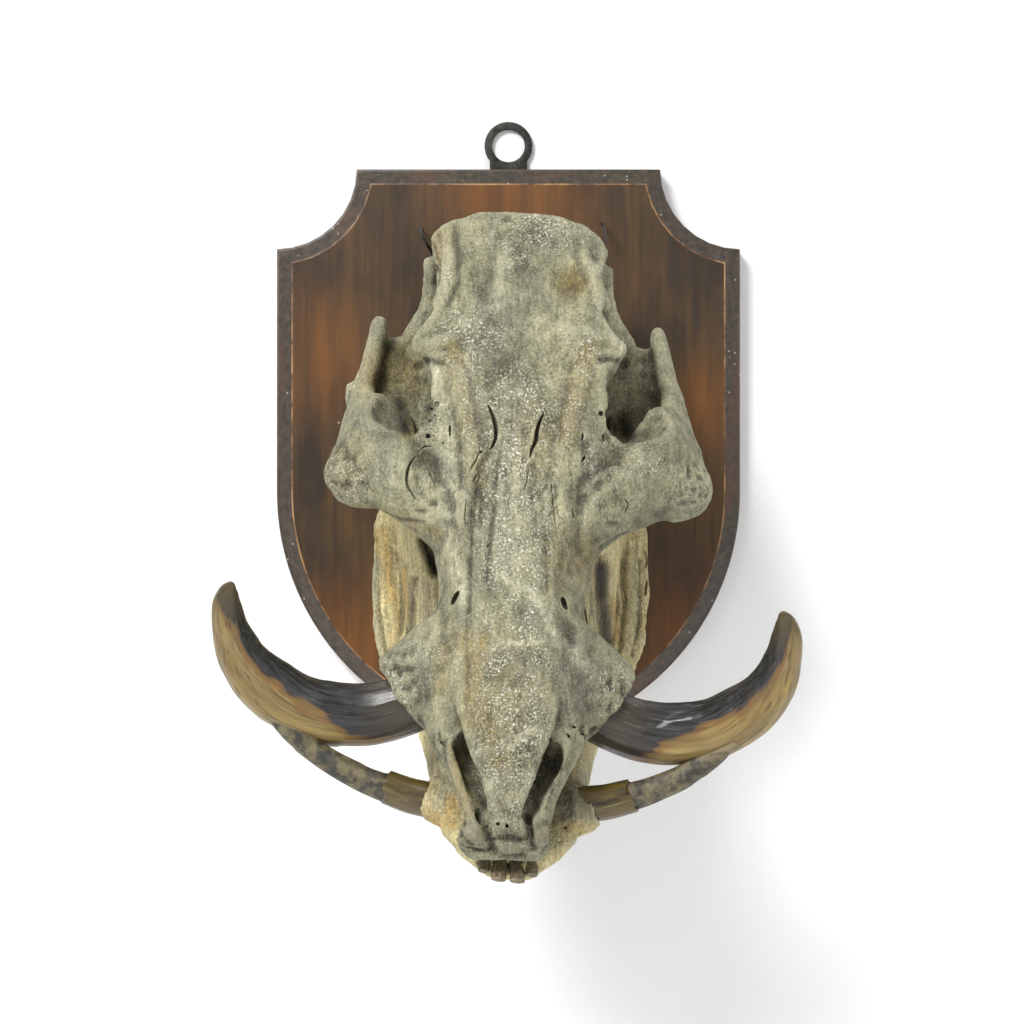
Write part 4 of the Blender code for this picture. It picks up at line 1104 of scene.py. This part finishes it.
def fit_sharp(piece, slot, node, angle):
    """Fit a piece and keep its edges sharp above an angle in degrees."""
    fit(piece, slot, node)
    only(piece)
    bpy.ops.object.shade_smooth_by_angle(angle=math.radians(angle))
    print(piece.name, "faces", len(piece.data.polygons))


ring = copy_solid("hanging_ring", "iron_ring")
soften(ring, 0.0006, 3, 45)
fit_sharp(ring, "ring_iron", "hanging_ring", 40)

# %% Screws
SLOT_SIZE = (0.0085, 0.0018, 0.0009)
# Each screw was left at another turn
SLOT_TURNS = {"upper": 0.5, "lower": -0.3}

screws = []
for word, turn in SLOT_TURNS.items():
    screw = copy_solid("hanger_screw_" + word, "plate_screw_" + word)
    low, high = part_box("hanger_screw_" + word)
    cut_block(screw, (0, high[1], (low[2] + high[2]) / 2), SLOT_SIZE, turn)
    fit_sharp(screw, "screw_steel", "hanger_screw_" + word, 35)
    screws.append(screw)

# %% Wires
WIRE_ROUTES = {
    "left": ((-51.5, -10, 134), (-51, -50, 131), (-49.5, -98, 127), (-48.5, -134, 122), (-45.5, -144, 115),
             (-42, -136, 110), (-40.5, -98, 107), (-39, -50, 103), (-38, -10, 100)),
    "right": ((55, -10, 137), (55, -50, 133), (54.5, -98, 126), (54, -132, 118), (52, -141, 110),
              (48.5, -132, 105), (46, -98, 102), (44, -50, 99), (43, -10, 96)),
}
WIRE_RADIUS = 0.0009

wires = []
for word, route in WIRE_ROUTES.items():
    path = bpy.data.curves.new("fixing_wire", "CURVE")
    path.dimensions = "3D"
    path.bevel_depth = WIRE_RADIUS
    path.bevel_resolution = 4
    path.use_fill_caps = True
    spline = path.splines.new("NURBS")
    spline.points.add(len(route) - 1)
    for point, place in zip(spline.points, route):
        point.co = (*[v * MM for v in place], 1.0)
    spline.use_endpoint_u = True
    spline.order_u = 3
    wire = bpy.data.objects.new("tie_wire_" + word, path)
    bpy.context.scene.collection.objects.link(wire)
    only(wire)
    bpy.ops.object.convert(target="MESH")
    fit(wire, "wire_iron", "fixing_wire_" + word)
    wires.append(wire)
print("wires:", len(wires))

# %% [markdown]
# ## Bone
# Dry bone is a porous mineral skin without gloss. Years of dust and smoke turned it
# grey green with yellow brown stains, and its outermost skin has flaked into cream
# specks. Fibres run along the snout, so one noise is stretched that way by turning its
# coordinates. Every finish here is built as on the real thing, one layer over another,
# so two helpers lay a colour and join the result to the shader. Shade is painted in
# too: dark in hollows, cracks and pores, where dirt also sits, and nearly black deep
# behind the bone.

# %% Helpers for layers
def lay(tree, base, code, amount, low=0.0, high=1.0, most=1.0):
    """Lay a colour over a base where an amount rises from low to high. Both may be hex text."""
    share = add(tree, "ShaderNodeMapRange", {"Value": amount, 1: low, 2: high, 3: 0.0, 4: most})
    under, over = (linear(tone) if isinstance(tone, str) else tone for tone in (base, code))
    return add(tree, "ShaderNodeMix", {0: share.outputs[0], 6: under, 7: over}, data_type="RGBA").outputs[2]


def join(tree, shader, colour, height, strength, depth):
    """Give the shader its colour, and a relief whose depth is in mm."""
    tree.links.new(colour, shader.inputs["Base Color"])
    bump = add(tree, "ShaderNodeBump", {"Height": height, "Strength": strength, "Distance": depth * MM})
    tree.links.new(bump.outputs[0], shader.inputs["Normal"])


# %% Bone material
# Marks stored at the points: stains, wear, relief, and painted shade
STAINS_AND_SHADE = ("grey", "ochre", "pale", "brown_stain_and_shade", "fibre", "fleck", "pores", "hollow", "ridge", "deep")
# Scale in cycles per metre, detail and roughness of each noise. Clouds are 29 mm wide,
# grit 1.6 mm, flakes 1.2 mm, drifts of flakes 10 mm and lumps 4 mm
BONE_NOISES = {
    "clouds": (34.0, 5.0, 0.62), "grit": (620.0, 3.0, 0.7), "flakes": (820.0, 2.5, 0.7),
    "drift": (105.0, 3.0, 0.6), "lumps": (240.0, 4.0, 0.6),
}
PORES_PER_METRE = 640.0
# Nearly black where no light reaches
DEEP_SHADE = "#140d08"


def bone(name, colours, run, stretch):
    """Bone with stains, specks, pores and painted shade. Run turns the fibres' direction onto Y."""
    made, tree, shader, place = blank(name)
    stains_and_shade = {name: add(tree, "ShaderNodeAttribute", attribute_name=name).outputs["Fac"] for name in STAINS_AND_SHADE}
    noises = {}
    for noise, (scale, detail, roughness) in BONE_NOISES.items():
        noises[noise] = add(tree, "ShaderNodeTexNoise", {
            "Vector": place, "Scale": scale, "Detail": detail, "Roughness": roughness}).outputs["Fac"]
    along = add(tree, "ShaderNodeMapping", {"Vector": place, "Rotation": run, "Scale": stretch}).outputs[0]
    fibres = add(tree, "ShaderNodeTexNoise", {"Vector": along, "Scale": 1.0, "Detail": 4.0, "Roughness": 0.6})
    noises["fibres"] = fibres.outputs["Fac"]
    pits = add(tree, "ShaderNodeTexVoronoi", {"Vector": place, "Scale": PORES_PER_METRE, "Randomness": 1.0})
    noises["pits"] = pits.outputs["Distance"]
    # Wrinkles and cracks follow the fibres at about half their fineness
    wider = [v * 0.55 for v in stretch]
    wrinkled = add(tree, "ShaderNodeMapping", {"Vector": place, "Rotation": run, "Scale": wider}).outputs[0]
    wrinkle = add(tree, "ShaderNodeTexNoise", {
        "Vector": wrinkled, "Scale": 1.0, "Detail": 3.0, "Distortion": 0.8}).outputs["Fac"]
    line = add(tree, "ShaderNodeMath", {0: wrinkle, 1: 0.5, 2: 0.022}, operation="COMPARE").outputs[0]

    # Each range reads a noise between two values and gives two others
    ranges = {}
    for key, noise, low, high, first, last in (
            ("cloudy", "clouds", 0.30, 0.60, 0.6, 1.0), ("fibrous", "fibres", 0.30, 0.60, 0.6, 1.0),
            ("wave", "fibres", 0.3, 0.7, 0.74, 1.24), ("speck", "grit", 0.34, 0.66, 0.60, 1.36),
            ("flake", "flakes", 0.53, 0.57, 0.0, 1.0), ("drifts", "drift", 0.36, 0.54, 0.15, 1.0),
            ("hole", "pits", 0.42, 0.20, 0.0, 1.0), ("groups", "drift", 0.60, 0.44, 0.15, 1.0)):
        ranges[key] = add(tree, "ShaderNodeMapRange", {
            "Value": noises[noise], 1: low, 2: high, 3: first, 4: last}).outputs[0]
    # A little of each kind of wear is everywhere, and more of it where it was painted
    worn = {}
    for which, share, least in (("fibre", 0.6, 0.10), ("fleck", 0.8, 0.2), ("pores", 0.85, 0.08)):
        worn[which] = add(tree, "ShaderNodeMath", {0: stains_and_shade[which], 1: share, 2: least},
                          operation="MULTIPLY_ADD").outputs[0]
    amounts = {}
    for key, factors in (
            ("grey", (stains_and_shade["grey"], ranges["cloudy"], 0.9)),
            ("ochre", (stains_and_shade["ochre"], ranges["fibrous"])),
            ("pale", (stains_and_shade["pale"], ranges["fibrous"], 0.9)),
            ("brown_stain_and_shade", (stains_and_shade["brown_stain_and_shade"], ranges["cloudy"])),
            ("crack", (line, worn["fibre"])), ("flake", (ranges["flake"], ranges["drifts"], worn["fleck"])),
            ("pore", (ranges["hole"], ranges["groups"], worn["pores"])),
            ("dirt_and_shade", (stains_and_shade["hollow"], 0.6)), ("rubbed", (stains_and_shade["ridge"], ranges["wave"], 0.24))):
        amounts[key] = factors[0]
        for factor in factors[1:]:
            amounts[key] = add(tree, "ShaderNodeMath", {0: amounts[key], 1: factor},
                               operation="MULTIPLY", use_clamp=True).outputs[0]

    # The layers from the bone up: mottled bone, stains with some painted shade, brightness, then wear, dirt
    # with painted shade, and last nearly black painted shade
    colour = lay(tree, colours["light"], colours["dark"], noises["clouds"], 0.36, 0.64)
    # The brown stains also carry painted shade under the brow hooks, in the eye sockets and along grooves
    for which in ("grey", "ochre", "pale", "brown_stain_and_shade"):
        colour = lay(tree, colour, colours[which], amounts[which])
    bright = add(tree, "ShaderNodeMath", {0: ranges["wave"], 1: ranges["speck"]},
                 operation="MULTIPLY").outputs[0]
    colour = add(tree, "ShaderNodeVectorMath", {0: colour, "Scale": bright}, operation="SCALE").outputs[0]
    # Cracks, pores and hollows get the dark colour of a hole, which is painted shade and dirt
    for which, shade in (("crack", "hole"), ("flake", "flake"), ("pore", "hole"), ("dirt_and_shade", "hole"),
                         ("rubbed", "pale")):
        colour = lay(tree, colour, colours[shade], amounts[which])
    # Painted shade, nearly black, deep behind the bone
    colour = lay(tree, colour, DEEP_SHADE, stains_and_shade["deep"])

    # Flakes stand up, pores and cracks go in
    height = add(tree, "ShaderNodeMath", {0: noises["grit"], 1: 0.8, 2: amounts["flake"]},
                 operation="MULTIPLY_ADD").outputs[0]
    for relief, share in ((noises["fibres"], 0.7), (amounts["pore"], -1.6), (amounts["crack"], -1.2),
                          (noises["lumps"], 2.2)):
        height = add(tree, "ShaderNodeMath", {0: relief, 1: share, 2: height},
                     operation="MULTIPLY_ADD").outputs[0]
    join(tree, shader, colour, height, 0.9, 0.9)
    shader.inputs["Roughness"].default_value = 0.72
    shader.inputs["Specular IOR Level"].default_value = 0.3
    return made


# The skull's bone is greyer and greener than the jaw's, and its fibres are 2 mm wide
cranium.data.materials.append(bone("dry_weathered_bone", {
    "light": "#9e9a79", "dark": "#62614c", "grey": "#67695c", "ochre": "#85703b", "pale": "#c9c5a6",
    "brown_stain_and_shade": "#332a19", "flake": "#e6e2cc", "hole": "#25221a"},
    (-SKULL_TILT, 0, 0), (480.0, 26.0, 160.0)))
# The jaw has kept more of its cream colour, and its ribs run nearly upright
mandible.data.materials.append(bone("ribbed_jaw_bone", {
    "light": "#d2c491", "dark": "#ad9f70", "grey": "#8f9180", "ochre": "#b8954f", "pale": "#d2cba8",
    "brown_stain_and_shade": "#33261a", "flake": "#d5cfae", "hole": "#3a3122"},
    (0, 0, 0), (560.0, 200.0, 30.0)))
print("bone materials:", cranium.data.materials[0].name, mandible.data.materials[0].name)

# %% [markdown]
# ## Ivory and enamel
# Tusk ivory is dense and takes a polish. The working side of a warthog's tusk is dark
# slate grey where the outer layer was stained, and tan where it has worn off. Fine lines
# follow the growth of the tusk, so the noise reads how far along and round it is.

# %% Upper tusk material
IVORY_IOR = 1.54


def streaks(tree, lengthwise, crosswise, detail=3.0):
    """Noise drawn out along the tusk, given the streaks' length and width in mm."""
    growth = add(tree, "ShaderNodeAttribute", attribute_name="growth").outputs["Vector"]
    fineness = (1 / (lengthwise * MM), 1 / (crosswise * MM), 1 / (crosswise * MM))
    drawn = add(tree, "ShaderNodeVectorMath", {0: growth, 1: fineness}, operation="MULTIPLY").outputs[0]
    return add(tree, "ShaderNodeTexNoise", {
        "Vector": drawn, "Scale": 1.0, "Detail": detail, "Roughness": 0.6}).outputs["Fac"]


# Polished ivory: the dark band shines like horn, and the tan side is a little duller
ivory, tree, shader, place = blank("stained_tusk_ivory")
fine = streaks(tree, 70.0, 1.3)
broad = streaks(tree, 60.0, 6.0)
scratch = streaks(tree, 45.0, 0.7, 1.0)
tan, border, tip, root = [add(tree, "ShaderNodeAttribute", attribute_name=name).outputs["Fac"]
                          for name in ("tan", "border", "tip", "root")]
dark = lay(tree, "#19191a", "#3b3a39", fine, 0.35, 0.7)
dark = lay(tree, dark, "#82807a", scratch, 0.66, 0.74, 0.5)
warm = lay(tree, "#604b25", "#a08a54", broad, 0.3, 0.7)
warm = lay(tree, warm, "#523c22", fine, 0.52, 0.66, 0.8)
colour = lay(tree, dark, warm, tan)
# The border between them is stained orange brown in streaks
streaked = add(tree, "ShaderNodeMapRange", {"Value": broad, 1: 0.35, 2: 0.6}).outputs[0]
border = add(tree, "ShaderNodeMath", {0: border, 1: streaked}, operation="MULTIPLY").outputs[0]
colour = lay(tree, colour, "#6e431a", border)
colour = lay(tree, colour, "#4e4229", tip)
colour = lay(tree, colour, "#5b4d33", root, most=0.3)
join(tree, shader, colour, fine, 0.5, 0.4)
gloss = add(tree, "ShaderNodeMapRange", {"Value": tan, 3: 0.27, 4: 0.45}).outputs[0]
tree.links.new(gloss, shader.inputs["Roughness"])
shader.inputs["Specular IOR Level"].default_value = 0.38
shader.inputs["IOR"].default_value = IVORY_IOR
for tusk in upper_tusks.values():
    tusk.data.materials.append(ivory)
print("ivory on", [tusk.name for tusk in upper_tusks.values()])

# %% Lower tusk material
# The outer layer keeps its polish and fine pale lines, and the broken core is dull,
# blotched where it flaked and pale where the upper tusk honed it
worn_ivory, tree, shader, place = blank("chipped_tusk_ivory")
fine = streaks(tree, 40.0, 1.0)
broad = streaks(tree, 30.0, 4.0)
# Blotches about 7 mm wide
blotch = add(tree, "ShaderNodeTexNoise", {
    "Vector": place, "Scale": 150.0, "Detail": 4.0, "Roughness": 0.65}).outputs["Fac"]
flaked, honed, core = [add(tree, "ShaderNodeAttribute", attribute_name=name).outputs["Fac"]
                       for name in ("flake", "honed", "core")]
outer = lay(tree, "#2a2213", "#665626", broad, 0.32, 0.66)
outer = lay(tree, outer, "#a89860", fine, 0.6, 0.72, 0.7)
inner = lay(tree, "#302e27", "#70664a", blotch, 0.4, 0.6)
inner = lay(tree, inner, "#2f3030", flaked, most=0.6)
inner = lay(tree, inner, "#8a7a58", honed)
join(tree, shader, lay(tree, outer, inner, core), fine, 0.5, 0.5)
gloss = add(tree, "ShaderNodeMapRange", {"Value": core, 3: 0.26, 4: 0.6}).outputs[0]
tree.links.new(gloss, shader.inputs["Roughness"])
shader.inputs["IOR"].default_value = IVORY_IOR
for word in SIDES.values():
    bpy.data.objects["lower_tusk_ivory_" + word].data.materials.append(worn_ivory)

# %% Tooth enamel
# Old enamel is hard and smooth, stained brown, with lines 1 mm wide down the crown
enamel, tree, shader, place = blank("stained_tooth_enamel")
drawn = add(tree, "ShaderNodeMapping", {
    "Vector": place, "Rotation": (-SKULL_TILT, 0, 0), "Scale": (900, 900, 120)}).outputs[0]
lines = add(tree, "ShaderNodeTexNoise", {"Vector": drawn, "Scale": 1.0, "Detail": 3.0}).outputs["Fac"]
hollow = add(tree, "ShaderNodeAttribute", attribute_name="hollow").outputs["Fac"]
# Darker in the teeth's hollows: dirt and painted shade
colour = lay(tree, lay(tree, "#4b4232", "#8d8062", lines, 0.35, 0.65), "#2a241b", hollow)
join(tree, shader, colour, lines, 0.4, 0.4)
shader.inputs["Roughness"].default_value = 0.35
for tooth in teeth:
    tooth.data.materials.append(enamel)
print("enamel on", len(teeth), "teeth")

# %% [markdown]
# ## Wood
# The board looks like mahogany, stained red brown and waxed. Its grain runs upright in
# long streaks, and the wax has gone nearly black in patches. The sloped rim was painted
# dark, and along its inner edge the paint has rubbed through to a pale line.

# %% Helpers for wood
def mahogany(name):
    """Base of the board's finishes: shader, grain 2.4 mm wide and patches 40 mm wide."""
    made, tree, shader, place = blank(name)
    upright = add(tree, "ShaderNodeMapping", {"Vector": place, "Scale": (420.0, 420.0, 16.0)}).outputs[0]
    grain = add(tree, "ShaderNodeTexNoise", {
        "Vector": upright, "Scale": 1.0, "Detail": 5.0, "Roughness": 0.62})
    taller = add(tree, "ShaderNodeMapping", {
        "Vector": place, "Scale": (1.0, 1.0, 0.42), "Location": (0.31, 0, 0.12)}).outputs[0]
    patches = add(tree, "ShaderNodeTexNoise", {
        "Vector": taller, "Scale": 26.0, "Detail": 4.0, "Roughness": 0.6})
    return made, tree, shader, place, grain.outputs["Fac"], patches.outputs["Fac"]


def dust(tree, base, place, cells, rim, middle, few, code):
    """Pale specks in cells per metre, from rim to middle of a cell. Few is the share of cells left bare."""
    dots = add(tree, "ShaderNodeTexVoronoi", {"Vector": place, "Scale": cells, "Randomness": 1.0})
    small = add(tree, "ShaderNodeMapRange", {"Value": dots.outputs["Distance"], 1: rim, 2: middle}).outputs[0]
    lot = add(tree, "ShaderNodeSeparateColor", {0: dots.outputs["Color"]}).outputs[0]
    rare = add(tree, "ShaderNodeMath", {0: lot, 1: few}, operation="GREATER_THAN").outputs[0]
    small = add(tree, "ShaderNodeMath", {0: small, 1: rare}, operation="MULTIPLY").outputs[0]
    return lay(tree, base, code, small)


# %% Face of the board
# Where the stain is rubbed thin and orange wood glows through: (x, z) and radius in mm
GLOWS = ((4, 152, 70), (-122, 60, 60), (-92, -112, 62), (112, -104, 60), (118, 30, 40))
GLOW_STRENGTH = 0.75

# Waxed wood has a soft sheen that is duller where the wax is thick
face_wood, tree, shader, place, grain, patches = mahogany("waxed_mahogany")
# Broad figure in the wood, 11 mm wide
upright = add(tree, "ShaderNodeMapping", {"Vector": place, "Scale": (90.0, 90.0, 9.0)}).outputs[0]
wide = add(tree, "ShaderNodeTexNoise", {
    "Vector": upright, "Scale": 1.0, "Detail": 4.0, "Roughness": 0.55}).outputs["Fac"]
base = lay(tree, "#2f2110", "#573c17", patches, 0.38, 0.66)
base = lay(tree, base, "#26180d", grain, 0.40, 0.70, 0.5)
base = lay(tree, base, "#6f4d1d", wide, 0.52, 0.70, 0.3)
thin = add(tree, "ShaderNodeMapRange", {"Value": wide, 1: 0.34, 2: 0.62, 3: 0.25, 4: 1.0}).outputs[0]
for x, z, radius in GLOWS:
    middle = (x * MM, -BOARD_DEPTH, z * MM)
    off = add(tree, "ShaderNodeVectorMath", {0: place, 1: middle}, operation="DISTANCE").outputs["Value"]
    near = add(tree, "ShaderNodeMapRange", {"Value": off, 1: radius * MM, 2: 0.0, 3: 0.0, 4: GLOW_STRENGTH},
               interpolation_type="SMOOTHSTEP").outputs[0]
    near = add(tree, "ShaderNodeMath", {0: near, 1: thin}, operation="MULTIPLY").outputs[0]
    base = lay(tree, base, "#7d4a10", near)
# A few pale specks of dust and paint, about a millimetre wide
base = dust(tree, base, place, 62.0, 0.045, 0.03, 0.72, "#a79a84")
join(tree, shader, base, grain, 0.25, 0.4)
sheen = add(tree, "ShaderNodeMapRange", {"Value": patches, 3: 0.34, 4: 0.50}).outputs[0]
tree.links.new(sheen, shader.inputs["Roughness"])
shader.inputs["IOR"].default_value = 1.48

# %% Rim, worn edge and back of the board
# Old black paint: uneven in blotches of 4 mm, brown where it is thin, with fine pale chips
rim_paint, tree, shader, place, grain, patches = mahogany("rubbed_black_rim")
mottle = add(tree, "ShaderNodeTexNoise", {
    "Vector": place, "Scale": 240.0, "Detail": 5.0, "Roughness": 0.7}).outputs["Fac"]
base = lay(tree, "#302820", "#51463a", mottle, 0.36, 0.68)
base = lay(tree, base, "#5c3a24", patches, 0.56, 0.7, 0.6)
base = dust(tree, base, place, 300.0, 0.20, 0.14, 0.90, "#a9a49a")
join(tree, shader, base, mottle, 0.35, 0.5)
shader.inputs["Roughness"].default_value = 0.42

# Bare wood where hands and dusters rubbed the paint off, in stretches of 17 mm
worn_edge, tree, shader, place, grain, patches = mahogany("rubbed_through_edge")
rub = add(tree, "ShaderNodeTexNoise", {
    "Vector": place, "Scale": 60.0, "Detail": 5.0, "Roughness": 0.7}).outputs["Fac"]
base = lay(tree, "#4f301a", "#a67d50", rub, 0.40, 0.62)
tree.links.new(base, shader.inputs["Base Color"])
shader.inputs["Roughness"].default_value = 0.5

# Sawn wood without stain or wax is matt, and only its grain shows
raw_wood, tree, shader, place, grain, patches = mahogany("sawn_mahogany")
tree.links.new(lay(tree, "#6b4a33", "#3e291c", grain), shader.inputs["Base Color"])
shader.inputs["Roughness"].default_value = 0.8
for finish, wood in ((FACE, face_wood), (RIM, rim_paint), (WORN, worn_edge), (BACK, raw_wood)):
    board.material_slots[finish].material = wood
print("board:", [slot.material.name for slot in board.material_slots])

# %% [markdown]
# ## Iron and steel
# The ring is iron with a dark oxide skin, slightly pitted. The wire is soft iron, gone
# black. The screws are plain steel gone dull. All three are one kind of finish, so one
# function makes them with other colours, roughness and pits.

# %% Metals
def metal(name, low, high, roughness, pit):
    """Oxidised metal with mottled colour and small pits, whose size is in mm."""
    made, tree, shader, place = blank(name)
    spots = add(tree, "ShaderNodeTexNoise", {
        "Vector": place, "Scale": 1 / (pit * MM), "Detail": 4.0, "Roughness": 0.65}).outputs["Fac"]
    join(tree, shader, lay(tree, low, high, spots, 0.36, 0.66), spots, 0.5, 0.3)
    # Oxide hides part of the metal, so the skin is not quite metallic
    shader.inputs["Metallic"].default_value = 0.75
    sheen = add(tree, "ShaderNodeMapRange", {
        "Value": spots, 3: roughness - 0.1, 4: roughness + 0.15}).outputs[0]
    tree.links.new(sheen, shader.inputs["Roughness"])
    return made


ring.data.materials.append(metal("oxidised_iron", "#232420", "#43443e", 0.5, 3.0))
wire_iron = metal("blackened_wire", "#15130f", "#2c2720", 0.6, 1.5)
for wire in wires:
    wire.data.materials.append(wire_iron)
screw_steel = metal("dull_steel", "#4c4842", "#77716a", 0.45, 2.0)
for screw in screws:
    screw.data.materials.append(screw_steel)
print("metal on", 1 + len(wires) + len(screws), "pieces")
